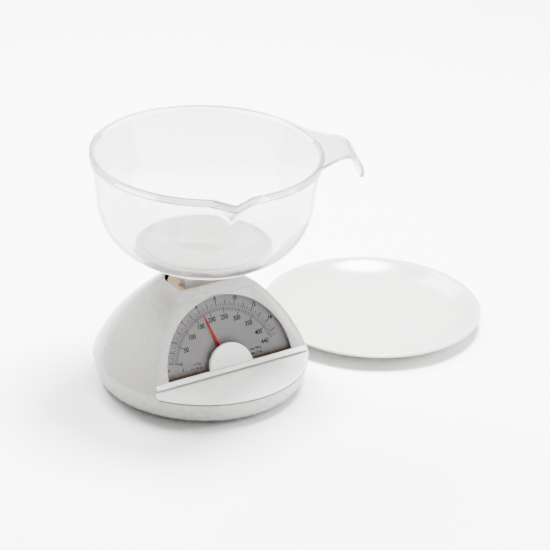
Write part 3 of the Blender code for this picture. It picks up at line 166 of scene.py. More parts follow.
@dataclass(frozen=True)
class Finish:
    """A finish built once and shared by the pieces that wear it."""

    name: str
    slot: str

    def material(self) -> bpy.types.Material:
        """The finish's material, made on first use."""
        known = bpy.data.materials.get("finish_" + self.name)
        return known or self.build(NodeBoard("finish_" + self.name))

    def build(self, board: NodeBoard) -> bpy.types.Material:
        """Fills the node tree."""
        raise NotImplementedError


@dataclass(frozen=True)
class MouldedPlastic(Finish):
    """Opaque moulded plastic: faint tone drift, uneven gloss and a fine mould grain."""

    colour: tuple = (0.8, 0.8, 0.78)
    drift: float = 0.015
    gloss: tuple = (0.24, 0.34)
    grain: float = 2600.0
    grain_depth: float = 0.00002
    grain_strength: float = 0.35
    drift_scale: float = 28.0
    gloss_scale: float = 210.0

    def build(self, board: NodeBoard) -> bpy.types.Material:
        """Tone drifts over centimetres, gloss over millimetres, grain over tenths."""
        darker = tuple(c * (1 - self.drift) for c in self.colour)
        lighter = tuple(min(1.0, c * (1 + self.drift)) for c in self.colour)
        board.link(board.tint(board.noise(self.drift_scale), darker, lighter), board.shader, "Base Color")
        board.link(board.spread(board.noise(self.gloss_scale), *self.gloss), board.shader, "Roughness")
        board.relief(board.noise(self.grain, 2.0), self.grain_depth, self.grain_strength)
        board.shader.inputs["IOR"].default_value = PLASTIC_INDEX
        return board.material


@dataclass(frozen=True)
class ClearPlastic(Finish):
    """Clear moulded plastic: warm and nearly colourless face on; seen edge on, its pass-through is tinted
    dark blue grey, a painted reflection of dark surroundings and of the long path through the wall.
    """

    body: tuple = (0.94, 0.93, 0.915)
    face: tuple = (0.95, 0.938, 0.915)
    # The pass-through's dark colour edge on: painted reflection.
    edge: tuple = (0.0, 0.0, 0.06)
    painted_edge_blend: float = 0.16
    refracted: float = 0.85
    absorb: tuple = (0.55, 0.55, 0.92)
    density: float = 8.0
    haze: tuple = (0.0, 0.035)
    haze_scale: float = 90.0
    wave_scale: float = 55.0
    wave_depth: float = 0.0003
    wave_strength: float = 0.12

    def build(self, board: NodeBoard) -> bpy.types.Material:
        """Refraction in a faintly absorbing wall, mixed over a pass-through tinted by the angle of view:
        darker edge on, as painted reflection.
        """
        shader = board.shader
        shader.inputs["Base Color"].default_value = (*self.body, 1)
        shader.inputs["Transmission Weight"].default_value = 1.0
        shader.inputs["IOR"].default_value = PLASTIC_INDEX
        board.link(board.spread(board.noise(self.haze_scale), *self.haze), shader, "Roughness")
        board.relief(board.noise(self.wave_scale, 1.0), self.wave_depth, self.wave_strength)
        volume = board.add("ShaderNodeVolumeAbsorption")
        volume.inputs["Color"].default_value = (*self.absorb, 1)
        volume.inputs["Density"].default_value = self.density
        board.link(volume.outputs["Volume"], board.tree.nodes["Material Output"], "Volume")
        # The pass-through darkens to the edge colour at grazing angles: painted dark reflection.
        angle = board.add("ShaderNodeLayerWeight")
        angle.inputs["Blend"].default_value = self.painted_edge_blend
        clear = board.add("ShaderNodeBsdfTransparent")
        board.link(board.tint(angle.outputs["Facing"], self.face, self.edge), clear, "Color")
        mixed = board.add("ShaderNodeMixShader")
        mixed.inputs["Fac"].default_value = self.refracted
        board.tree.links.new(clear.outputs["BSDF"], mixed.inputs[1])
        board.tree.links.new(shader.outputs["BSDF"], mixed.inputs[2])
        board.link(mixed.outputs["Shader"], board.tree.nodes["Material Output"], "Surface")
        return board.material


@dataclass(frozen=True)
class LensPlastic(Finish):
    """A thin clear window: light passes straight through it, and its face only adds a sheen."""

    tone: tuple = (0.97, 0.97, 0.975)
    sheen_body: tuple = (0.02, 0.02, 0.02)
    sheen_index: float = 1.35
    gloss: tuple = (0.02, 0.06)
    gloss_scale: float = 90.0

    def build(self, board: NodeBoard) -> bpy.types.Material:
        """A clear pass-through mixed with the glossy shader by the angle of view."""
        shader = board.shader
        shader.inputs["Base Color"].default_value = (*self.sheen_body, 1)
        board.link(board.spread(board.noise(self.gloss_scale), *self.gloss), shader, "Roughness")
        clear = board.add("ShaderNodeBsdfTransparent")
        clear.inputs["Color"].default_value = (*self.tone, 1)
        sheen = board.add("ShaderNodeFresnel")
        sheen.inputs["IOR"].default_value = self.sheen_index
        mixed = board.add("ShaderNodeMixShader")
        board.link(sheen.outputs["Fac"], mixed, "Fac")
        board.tree.links.new(clear.outputs["BSDF"], mixed.inputs[1])
        board.tree.links.new(shader.outputs["BSDF"], mixed.inputs[2])
        board.link(mixed.outputs["Shader"], board.tree.nodes["Material Output"], "Surface")
        return board.material


@dataclass(frozen=True)
class Metal(Finish):
    """Bare or plated metal with a drawn grain along X."""

    colour: tuple = (0.6, 0.6, 0.6)
    gloss: tuple = (0.25, 0.42)
    metallic: float = 1.0
    drawn: tuple = (0.15, 3.0, 3.0)
    grain: float = 1100.0
    grain_depth: float = 0.00001
    grain_strength: float = 0.4
    darkest: float = 0.9

    def build(self, board: NodeBoard) -> bpy.types.Material:
        """Grain stretched along the drawing direction varies gloss, tone and relief."""
        grain = board.noise(self.grain, 3.0, self.drawn)
        darker = tuple(c * self.darkest for c in self.colour)
        board.link(board.tint(grain, darker, self.colour), board.shader, "Base Color")
        board.link(board.spread(grain, *self.gloss), board.shader, "Roughness")
        board.relief(grain, self.grain_depth, self.grain_strength)
        board.shader.inputs["Metallic"].default_value = self.metallic
        return board.material


@dataclass(frozen=True)
class Print(Finish):
    """Printed ink or enamel: one colour with a slightly uneven film."""

    colour: tuple = (0.006, 0.006, 0.007)
    gloss: tuple = (0.5, 0.62)
    film_scale: float = 1500.0
    thin_gain: float = 1.25
    thin_lift: float = 0.004

    def build(self, board: NodeBoard) -> bpy.types.Material:
        """The film's thickness varies tone and gloss a little."""
        film = board.noise(self.film_scale, 2.0)
        lighter = tuple(min(1.0, c * self.thin_gain + self.thin_lift) for c in self.colour)
        board.link(board.tint(film, self.colour, lighter), board.shader, "Base Color")
        board.link(board.spread(film, *self.gloss), board.shader, "Roughness")
        return board.material


# The shell's white plastic is darkened to grey here: painted shade for the flanks and panel, which face away
# from the light. The same white plastic at full tone is PLATFORM_WHITE, and the lighter apron white also
# dresses the ledge and hub cover so that they read lit: painted light.
SHADE_DARKENED_WHITE = MouldedPlastic("white_plastic", "white_plastic", (0.37, 0.363, 0.35))
PLATFORM_WHITE = MouldedPlastic("platform_plastic", "white_plastic", (0.78, 0.775, 0.76))
APRON_WHITE = MouldedPlastic("apron_plastic", "apron_plastic", (0.76, 0.75, 0.73))
DISH_WHITE = MouldedPlastic(
    "dish_plastic", "dish_plastic", (0.48, 0.475, 0.452), gloss=(0.14, 0.22), grain_depth=0.00001
)
CLEAR = ClearPlastic("clear_plastic", "clear_plastic")
LENS = LensPlastic("lens_plastic", "clear_plastic")
SILVER = Metal("dial_silver", "dial_silver", (0.58, 0.555, 0.55), (0.42, 0.5), 0.3, (1.0, 1.0, 1.0))
RED = Print("pointer_red", "pointer_red", (0.62, 0.012, 0.012), (0.3, 0.42))
INK = Print("dial_ink", "dial_silver")
STEEL = Metal("bright_steel", "bright_steel", (0.62, 0.62, 0.62), (0.18, 0.32))
ZINC = Metal("zinc_sheet", "zinc_sheet", (0.55, 0.56, 0.57), (0.3, 0.45))
BRASS = Metal("brass", "brass", (0.70, 0.52, 0.24), (0.25, 0.38))
# Tan for a sheet and strips that stand in for warm shade: painted shade, not a colour of the scale's white
# plastic.
WARM_SHADE_TAN = MouldedPlastic("warm_shade_tan", "white_plastic", (0.36, 0.25, 0.13), gloss=(0.4, 0.5))
ACETAL = MouldedPlastic("acetal_grey", "acetal_grey", (0.5, 0.5, 0.5), gloss=(0.4, 0.5))
RUBBER = MouldedPlastic("foot_rubber", "foot_rubber", (0.03, 0.03, 0.032), 0.1, (0.6, 0.75), 1800.0, 0.00004)


# ------------------------------------------------------------------------------- meshes
def volume_of(points: Array, faces: Array) -> float:
    """Signed volume of a closed mesh of triangles or quads.

    Six times the volume is the sum, over its triangles, of first · (second × third).

    Args:
        points: corners, (n, 3).
        faces: corner numbers, (m, 3) or (m, 4).

    Returns:
        The volume, positive when the faces point outwards.
    """
    fans = [faces[:, [0, 1, 2]]]
    if faces.shape[1] == 4:
        fans.append(faces[:, [0, 2, 3]])
    corners = points[np.concatenate(fans)]
    crossed = np.cross(corners[:, 1], corners[:, 2])
    return float(np.einsum("ij,ij->", corners[:, 0], crossed)) / 6


def grid_faces(rows: int, columns: int, wrap: Wrap) -> Array:
    """Quads of a grid of rows by columns points.

    Args:
        rows: points along the first parameter.
        columns: points along the second parameter.
        wrap: which of the two closes on itself.

    Returns:
        Corner numbers, (m, 4).
    """
    wrap_rows, wrap_columns = wrap.value
    row = np.arange(rows if wrap_rows else rows - 1)
    column = np.arange(columns if wrap_columns else columns - 1)
    row, column = np.meshgrid(row, column, indexing="ij")
    next_row, next_column = (row + 1) % rows, (column + 1) % columns
    corners = [row * columns + column, next_row * columns + column]
    corners += [next_row * columns + next_column, row * columns + next_column]
    return np.stack([c.ravel() for c in corners], axis=1)


def object_from(name: str, points: Array, faces: Array, sharp: float = 35.0) -> bpy.types.Object:
    """Makes a mesh object of points and quads or triangles.

    Points that coincide, such as a pole's, become one, and a quad that loses a corner becomes a
    triangle. Faces of a closed mesh are turned outwards by the sign of its volume.

    Args:
        name: the object's name.
        points: corners, (n, 3).
        faces: corner numbers, (m, 3) or (m, 4).
        sharp: edges that bend more than this many degrees stay sharp.

    Returns:
        The object, at the origin.
    """
    _, first, index = np.unique(
        np.round(points / MERGE).astype(np.int64), axis=0, return_index=True, return_inverse=True
    )
    points, faces = points[first], index.reshape(-1)[faces]
    if volume_of(points, faces) < 0:
        faces = faces[:, ::-1]
    follow = np.roll(faces, -1, axis=1)
    keep = faces != follow
    counts = keep.sum(axis=1)
    solid = counts >= 3
    faces, keep, counts = faces[solid], keep[solid], counts[solid]
    mesh = bpy.data.meshes.new(name)
    mesh.vertices.add(len(points))
    mesh.vertices.foreach_set("co", points.astype(np.float32).ravel())
    mesh.loops.add(int(counts.sum()))
    mesh.loops.foreach_set("vertex_index", faces[keep].astype(np.int32))
    mesh.polygons.add(len(faces))
    starts = np.concatenate([[0], np.cumsum(counts)[:-1]])
    mesh.polygons.foreach_set("loop_start", starts.astype(np.int32))
    mesh.update(calc_edges=True)
    mesh.shade_smooth()
    mesh.set_sharp_from_angle(angle=math.radians(sharp))
    obj = bpy.data.objects.new(name, mesh)
    bpy.context.scene.collection.objects.link(obj)
    return obj


def surface(name: str, grid: Array, wrap: Wrap, sharp: float = 35.0) -> bpy.types.Object:
    """Makes an object of a grid of points (rows, columns, 3)."""
    rows, columns = grid.shape[:2]
    return object_from(name, grid.reshape(-1, 3), grid_faces(rows, columns, wrap), sharp)


def revolve(name: str, profile: Array, place: Matrix, steps: int, sharp: float = 35.0) -> bpy.types.Object:
    """A turned form: the point (r, h) of the profile becomes (r cos a, r sin a, h) at each angle a.

    Args:
        name: the object's name.
        profile: radii and heights, (n, 2), from pole to pole or closed on itself.
        place: where the axis stands.
        steps: angles round the axis.
        sharp: edges that bend more than this many degrees stay sharp.

    Returns:
        The object.
    """
    angle = np.linspace(0, math.tau, steps, endpoint=False)[:, None]
    radius, height = profile[None, :, 0], profile[None, :, 1]
    grid = np.stack([radius * np.cos(angle), radius * np.sin(angle), height + 0 * angle], axis=-1)
    return surface(name, moved(grid, place), Wrap.AROUND, sharp)


def moved(points: Array, place: Matrix) -> Array:
    """Points carried by a matrix."""
    matrix = np.array(place)
    return points @ matrix[:3, :3].T + matrix[:3, 3]


def prism(name: str, outline: Array, low: float, high: float, place: Matrix) -> bpy.types.Object:
    """A flat outline (n, 2) carried straight from a low to a high depth, with flat ends.

    Args:
        name: the object's name.
        outline: corners in the outline's plane, counter-clockwise.
        low: where it starts along the plane's normal.
        high: where it ends.
        place: the plane's place.

    Returns:
        The object.
    """
    count = len(outline)
    bottom = np.column_stack([outline, np.full(count, low)])
    top = np.column_stack([outline, np.full(count, high)])
    points = moved(np.concatenate([bottom, top]), place)
    here = np.arange(count)
    there = (here + 1) % count
    sides = np.stack([here, there, there + count, here + count], axis=1)
    faces = sides.tolist() + [here[::-1].tolist(), (here + count).tolist()]
    mesh = bpy.data.meshes.new(name)
    mesh.from_pydata(points.tolist(), [], faces)
    mesh.update(calc_edges=True)
    mesh.shade_smooth()
    mesh.set_sharp_from_angle(angle=math.radians(30))
    obj = bpy.data.objects.new(name, mesh)
    bpy.context.scene.collection.objects.link(obj)
    return obj


def carve(obj: bpy.types.Object, cutters: list, sharp: float = 30.0) -> bpy.types.Object:
    """Takes the cutters away from the object, for good, and removes them.

    Args:
        obj: the object to cut.
        cutters: closed objects.
        sharp: edges that bend more than this many degrees stay sharp.

    Returns:
        The object.
    """
    for cutter in cutters:
        modifier = obj.modifiers.new("cut", "BOOLEAN")
        modifier.operation = "DIFFERENCE"
        modifier.solver = "EXACT"
        modifier.object = cutter
    settle(obj)
    for cutter in cutters:
        bpy.data.objects.remove(cutter)
    obj.data.shade_smooth()
    obj.data.set_sharp_from_angle(angle=math.radians(sharp))
    return obj


def settle(obj: bpy.types.Object) -> bpy.types.Object:
    """Applies the object's modifiers."""
    bpy.context.view_layer.update()
    graph = bpy.context.evaluated_depsgraph_get()
    mesh = bpy.data.meshes.new_from_object(obj.evaluated_get(graph))
    obj.modifiers.clear()
    obj.data = mesh
    return obj


def soften(obj: bpy.types.Object, width: float, segments: int = 3, angle: float = 40.0) -> bpy.types.Object:
    """Rounds the object's sharp edges by a width, with a Bevel.

    Args:
        obj: the object.
        width: the rounding's width.
        segments: faces across it.
        angle: only edges that bend more than this many degrees are rounded.

    Returns:
        The object.
    """
    bevel = obj.modifiers.new("soft_edge", "BEVEL")
    bevel.width = width
    bevel.segments = segments
    bevel.limit_method = "ANGLE"
    bevel.angle_limit = math.radians(angle)
    settle(obj)
    obj.data.shade_smooth()
    obj.data.set_sharp_from_angle(angle=math.radians(angle))
    return obj


def dress(obj: bpy.types.Object, finish: Finish, body: Body | str, *nodes: str) -> bpy.types.Object:
    """Gives a piece its finish and body, and hides the frame's nodes that it stands for.

    Args:
        obj: the piece.
        finish: what it wears.
        body: the body that it rides on.
        nodes: nodes that it replaces.

    Returns:
        The piece.
    """
    obj.data.materials.clear()
    obj.data.materials.append(finish.material())
    if nodes:
        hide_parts(*nodes)
    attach(obj, body.value if isinstance(body, Body) else body)
    LOG.info("%s: %d faces, %s", obj.name, len(obj.data.polygons), finish.name)
    return obj


def arc(radius: float, start: float, end: float, count: int, centre: tuple = (0.0, 0.0)) -> Array:
    """Points (count + 1, 2) on an arc: the centre plus the radius turned from start to end."""
    angle = np.linspace(start, end, count + 1)
    return np.column_stack([centre[0] + radius * np.cos(angle), centre[1] + radius * np.sin(angle)])


def rounded(profile: Array, radius: float, count: int = 5) -> Array:
    """Rounds the inner corners of an open profile.

    Each corner gives way to a quadratic curve that leaves one side and joins the other at the
    same distance, with the corner as its control point.

    Args:
        profile: corners, (n, 2).
        radius: the distance kept from each corner, at most 0.45 of its shorter side.
        count: points on each curve, less one.

    Returns:
        The rounded profile.
    """
    before, corner, after = profile[:-2], profile[1:-1], profile[2:]
    back, ahead = before - corner, after - corner
    back_length = np.linalg.norm(back, axis=1, keepdims=True)
    ahead_length = np.linalg.norm(ahead, axis=1, keepdims=True)
    reach = np.minimum(radius, 0.45 * np.minimum(back_length, ahead_length))
    start = (corner + back / back_length * reach)[:, None]
    end = (corner + ahead / ahead_length * reach)[:, None]
    t = np.linspace(0, 1, count + 1)[None, :, None]
    curve = (1 - t) ** 2 * start + 2 * t * (1 - t) * corner[:, None] + t**2 * end
    return np.concatenate([profile[:1], curve.reshape(-1, 2), profile[-1:]])


# ------------------------------------------------------------------------------- places
@dataclass(frozen=True)
class Places:
    """Where the scale's upright axis, its dial and the dish stand in the frame."""

    dial_slant: float = math.radians(63.9)
    dial_y: float = -0.0385
    dial_z: float = 0.0255

    @property
    def axis(self) -> Vector:
        """Foot of the scale's upright axis, under the middle of its platform."""
        low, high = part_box("platform")
        return Vector(((low.x + high.x) / 2, (low.y + high.y) / 2, 0))

    @property
    def dish(self) -> Vector:
        """Foot of the dish's axis."""
        low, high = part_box("dish")
        return Vector(((low.x + high.x) / 2, (low.y + high.y) / 2, 0))

    @property
    def upright(self) -> Matrix:
        """Scale coordinates: across, back and up from the foot of the axis."""
        return Matrix.Translation(self.axis)

    @property
    def dial(self) -> Matrix:
        """Dial coordinates: across, up the slope and out of the dial from its centre."""
        sine, cosine = math.sin(self.dial_slant), math.cos(self.dial_slant)
        turn = Matrix(((1, 0, 0, 0), (0, cosine, -sine, 0), (0, sine, cosine, 0), (0, 0, 0, 1)))
        return self.upright @ Matrix.Translation((0, self.dial_y, self.dial_z)) @ turn


PLACES = Places()


# ------------------------------------------------------------------------------- housing
@dataclass
class Housing:
    """The white shell: a round lower hull, a creased dome and a slanted face for the dial."""

    waist_radius: float = 0.0739
    waist: float = 0.020
    bottom: float = 0.0015
    tuck: float = 0.0099
    first_bend: float = 0.0045
    top: float = 0.076
    mouth_half_x: float = 0.0235
    mouth_half_y: float = 0.009
    top_wall: float = 0.0016
    wall: float = 0.0022
    front_wall: float = 0.0038
    dome_linear: float = 0.44
    crease_angle: float = math.radians(165)
    shelf: float = 0.0175
    panel_top: float = 0.0718
    panel_top_half: float = 0.0333
    panel_linear: float = 0.15
    crease_round: float = 0.0022
    corner_round: float = 0.0013
    lip_round: float = 0.0006
    edge_share: float = 0.62
    hull_start: float = 0.0028
    face_start: float = 0.0005
    brow_start: float = 0.0004
    mouth_depth: float = 0.0030
    wall_start: float = 0.0045
    lip_steps: int = 5
    hull_steps: int = 22
    face_steps: int = 60
    brow_steps: int = 9
    wall_steps: int = 40
    room_steps: int = 14
    ring_steps: int = 25
    back_steps: int = 37
    corner_steps: int = 5
    knob_spot: tuple = (-0.0060, 0.0630, 0.0285)
    knob_room: float = 0.0072
    knob_cut: tuple = (-0.008, 0.00218, 0.03)
    boss_spots: tuple = (
        (0.0440, 0.0330, 0.034), (0.0510, -0.0180, 0.026), (-0.0440, 0.0330, 0.034), (-0.0510, -0.0180, 0.026)
    )
    boss_radius: float = 0.0036
    boss_foot: float = 0.0042
    boss_bore: float = 0.0016
    boss_bore_top: float = 0.0159
    # A tan sheet under the mouth: painted warm shade in the mouth's dark.
    shade_sheet_low: float = 0.0728
    shade_sheet_high: float = 0.0736
    shade_sheet_front: float = 0.0074
    shade_sheet_half: float = 0.0220
    shade_sheet_reach: float = 0.0240
    shade_sheet_turn: tuple = (12, 168)
    shade_sheet_slot: tuple = (0.0172, 0.0044)

    def hull_radius(self, z: Array) -> Array:
        """Radius below the waist: a quick exponential bend at the lower edge, then a straight."""
        rise = (z - self.bottom) / (self.waist - self.bottom)
        bend = np.exp(-2 * (z - self.bottom) / self.first_bend)
        return self.waist_radius - self.tuck * (self.edge_share * bend + (1 - self.edge_share) * (1 - rise))

    def face_y(self, z: Array) -> Array:
        """Front of the slanted face: a straight slope, then a flatter brow above the panel."""
        slope = math.cos(PLACES.dial_slant) / math.sin(PLACES.dial_slant)
        face = PLACES.dial_y + (np.minimum(z, self.panel_top) - PLACES.dial_z) * slope
        brow = np.clip((z - self.panel_top) / (self.top - self.panel_top), 0, 1)
        return face + (-self.mouth_half_y - self.top_wall - face) * brow

    def face_half(self, z: Array) -> Array:
        """Half the face's width: the hull's chord below the waist, then drawn in as a parabola."""
        base_y = float(self.face_y(np.array(self.waist)))
        base = math.sqrt(self.waist_radius**2 - base_y**2)
        low_radius = self.hull_radius(np.minimum(z, self.waist))
        low = np.sqrt(np.maximum(low_radius, 0) ** 2 - self.face_y(z) ** 2)
        rise = np.clip((z - self.waist) / (self.panel_top - self.waist), 0, 1)
        draw = self.panel_linear * rise + (1 - self.panel_linear) * rise**2
        panel = base + (self.panel_top_half - base) * draw
        brow = np.clip((z - self.panel_top) / (self.top - self.panel_top), 0, 1)
        panel = panel + (self.mouth_half_x + self.top_wall - panel) * brow
        return np.where(z <= self.waist, low, panel)

    def crease(self, z: Array) -> tuple[Array, Array]:
        """Radius and angle of the corner between flank and back: both drift to the mouth's corner.

        Args:
            z: heights, of any shape.

        Returns:
            The corner's radius and its angle at each height.
        """
        rise = np.clip((z - self.waist) / (self.top - self.waist), 0, 1)
        corner_x, corner_y = self.mouth_half_x + self.top_wall, self.mouth_half_y + self.top_wall
        draw = self.dome_linear * rise + (1 - self.dome_linear) * rise**2
        radius = self.waist_radius + (math.hypot(corner_x, corner_y) - self.waist_radius) * draw
        start = math.pi - self.crease_angle
        angle = start + (math.atan2(corner_y, corner_x) - start) * rise**2
        return np.where(z <= self.waist, self.hull_radius(np.minimum(z, self.waist)), radius), angle

    def rings(
        self, z: Array, inset: Array | float, front_inset: Array | float, round_front: bool,
        lip: Array | float = 0.0,
    ) -> Array:
        """Closed level rings of the form, drawn in by an inset.

        The right half runs from the back's middle round its arc, softly over the crease, along the
        bowed flank, over the face's corner and along the face, or the hull's arc below the shelf.
        Each soft corner is a quadratic curve with the corner as control point. The left half
        mirrors it.

        Args:
            z: heights, (m,).
            inset: how far the ring is drawn in, (m,).
            front_inset: how far the face is drawn in, (m,).
            round_front: whether the front follows the hull's arc.
            lip: how much the hull's arc in front is drawn in for a rounded shelf edge.

        Returns:
            Points, (m, n, 3).
        """
        z, inset, front_inset = (np.broadcast_to(v, z.shape)[:, None] for v in (z, inset, front_inset))
        lip = np.broadcast_to(lip, z[:, 0].shape)[:, None]
        radius, angle = self.crease(z)
        radius = radius - inset
        corner = np.stack([radius * np.cos(angle), radius * np.sin(angle)], axis=-1)
        half, forward = self.face_half(z), self.face_y(z)
        if round_front:
            reach = np.hypot(half, forward)
            front = np.stack([half, forward], axis=-1) * ((reach - inset) / reach)[..., None]
        else:
            back_off = front_inset / math.sin(PLACES.dial_slant)
            front = np.stack([half - inset, forward + back_off], axis=-1)
        along = front - corner
        length = np.linalg.norm(along, axis=-1, keepdims=True)
        outward = np.stack([-along[..., 1], along[..., 0]], axis=-1) / length
        low = np.minimum(z, self.waist)
        low_radius, low_angle = self.crease(low)
        low_half, low_front = self.face_half(low), self.face_y(low)
        middle_x = (low_radius * np.cos(low_angle) + low_half) / 2
        middle_y = (low_radius * np.sin(low_angle) + low_front) / 2
        fade = 1 - np.clip((z - self.waist) / (self.top - self.waist), 0, 1)
        bulge = ((low_radius - np.hypot(middle_x, middle_y)) * fade**2)[..., None]

        def flank(share: Array) -> Array:
            """Point of the bowed flank at a share of its length."""
            return corner + along * share + outward * bulge * 4 * share * (1 - share)

        def bent(start: Array, control: Array, end: Array, count: int) -> Array:
            """Quadratic curve, without its first point."""
            t = np.linspace(0, 1, count + 1)[None, 1:, None]
            return (1 - t) ** 2 * start + 2 * t * (1 - t) * control + t**2 * end

        crease_turn = self.crease_round / radius
        quarter = math.pi / 2
        back_angle = quarter + (angle + crease_turn - quarter) * np.linspace(0, 1, self.back_steps)[None]
        back = np.stack([radius * np.cos(back_angle), radius * np.sin(back_angle)], axis=-1)
        first = self.crease_round / length
        last = 1 - self.corner_round / length
        crease = bent(back[:, -1:], corner, flank(first), self.corner_steps)
        even = np.linspace(0, 1, self.ring_steps)[None]
        share = first + (last - first) * even[:, 1:, None]
        side = flank(share)
        if round_front:
            start = np.arctan2(front[..., 1], front[..., 0])
            reach = np.hypot(front[..., 0], front[..., 1])
            corner_turn = self.corner_round / reach
            fore_angle = start - corner_turn + (corner_turn - quarter - start) * even
            reach = reach - lip
            fore = np.stack([reach * np.cos(fore_angle), reach * np.sin(fore_angle)], axis=-1)
        else:
            across = (front[..., 0] - self.corner_round) * (1 - even)
            fore = np.stack([across, front[..., 1] + 0 * across], axis=-1)
        turn = bent(side[:, -1:], front, fore[:, :1], self.corner_steps)
        half_ring = np.concatenate([back, crease, side, turn, fore[:, 1:]], axis=1)
        left = half_ring[:, -2:0:-1] * np.array([-1, 1])
        ring = np.concatenate([half_ring, left], axis=1)
        return np.concatenate([ring, np.broadcast_to(z[..., None], (*ring.shape[:2], 1))], axis=2)

    def outside(self) -> Array:
        """Rings from the hull's lower edge to the mouth's rim.

        The lower edge is a small flat chamfer. The shelf's edge and the mouth's rim are quarter
        circles of the lip's radius.
        """
        turn = np.linspace(0, math.pi / 2, self.lip_steps)
        chamfer = self.lip_round * np.sin(turn)
        climb, draw = chamfer[1:], self.lip_round * (1 - np.cos(turn[1:]))
        straight = np.linspace(self.hull_start, self.shelf - self.lip_round, self.hull_steps)
        z = np.concatenate([self.bottom + chamfer, straight, self.shelf - self.lip_round + climb])
        flat = np.zeros(len(straight) + len(climb))
        inset = np.concatenate([self.lip_round - chamfer, flat])
        lip = np.concatenate([np.zeros(len(z) - len(draw)), draw])
        lower = self.rings(z, inset, 0.0, True, lip)
        brow_foot = self.panel_top - self.brow_start
        slope = np.linspace(self.shelf + self.face_start, brow_foot - self.brow_start, self.face_steps)
        brow = np.linspace(brow_foot, self.top - self.lip_round, self.brow_steps)
        upper = self.rings(np.concatenate([[self.shelf], slope, brow]), 0.0, 0.0, False)
        roll = self.rings(self.top - self.lip_round + climb, draw, draw, False)
        return np.concatenate([lower, upper, roll])

    def inside(self) -> Array:
        """Rings from the mouth's rim down its lip and the inner wall to the hull's lower edge."""
        turn = np.linspace(0, math.pi / 2, self.lip_steps)
        roll = self.top - self.lip_round + self.lip_round * np.cos(turn)
        inset = self.top_wall - self.lip_round + self.lip_round * np.sin(turn)
        inset = np.append(inset, self.top_wall)
        mouth = self.rings(np.append(roll, self.top - self.mouth_depth), inset, inset, False)
        ceiling = self.shelf - self.wall
        wall_z = np.linspace(self.top - self.wall_start, ceiling, self.wall_steps)
        wall = self.rings(wall_z, self.wall, self.front_wall, False)
        room = self.rings(np.linspace(ceiling, self.bottom, self.room_steps), self.wall, 0.0, True)
        return np.concatenate([mouth, wall, room])

    def build(self) -> None:
        """Makes the shell, its screw bosses, a tan sheet of painted warm shade inside the mouth and the
        openings for dial and knob.
        """
        grid = np.concatenate([self.outside(), self.inside()])
        shell = surface("housing_shell", moved(grid, PLACES.upright), Wrap.BOTH)
        carve(shell, [*DIAL.room_cutters(), self.knob_cutter()])
        # The shell's grey is painted shade on white plastic.
        dress(shell, SHADE_DARKENED_WHITE, Body.BASE, "housing")
        self.bosses()
        self.shade_sheet()

    def knob_cutter(self) -> bpy.types.Object:
        """A round cutter for the knob's opening in the back."""
        inner, middle, outer = self.knob_cut
        side = [[self.knob_room, height] for height in (inner, middle, outer)]
        profile = np.array([[0, inner], *side, [0, outer]])
        back = Matrix.Rotation(-math.pi / 2, 4, "X")
        return revolve("knob_cutter", profile, PLACES.upright @ Matrix.Translation(self.knob_spot) @ back, 64)

    def shade_sheet(self) -> None:
        """A thin sheet below the mouth, with a slot that the post slides in; its tan colour is painted warm
        shade seen down the mouth.
        """
        back = arc(self.shade_sheet_reach, *(math.radians(turn) for turn in self.shade_sheet_turn), 32)
        front = [[-self.shade_sheet_half, -self.shade_sheet_front], [self.shade_sheet_half, -self.shade_sheet_front]]
        outline = np.concatenate([front, back])
        sheet = prism("mouth_shade_sheet", outline, self.shade_sheet_low, self.shade_sheet_high, PLACES.upright)
        x, y = self.shade_sheet_slot
        room = np.array([[x, -y], [x, y], [-x, y], [-x, -y]])
        low, high = self.shade_sheet_low - CUT_PAST, self.shade_sheet_high + CUT_PAST
        slot = prism("shade_sheet_slot", room, low, high, PLACES.upright)
        dress(carve(sheet, [slot]), WARM_SHADE_TAN, Body.BASE)

    def bosses(self) -> None:
        """Four hollow posts inside the shell that take the base screws."""
        for number, (x, y, height) in enumerate(self.boss_spots, 1):
            profile = np.array([
                [0, height], [self.boss_radius, height], [self.boss_radius, self.boss_foot],
                [self.boss_bore, self.boss_foot], [self.boss_bore, self.boss_bore_top],
                [0, self.boss_bore_top],
            ])
            place = PLACES.upright @ Matrix.Translation((x, y, 0))
            boss = revolve(f"screw_boss_{number}", profile, place, 32)
            dress(boss, SHADE_DARKENED_WHITE, Body.BASE)


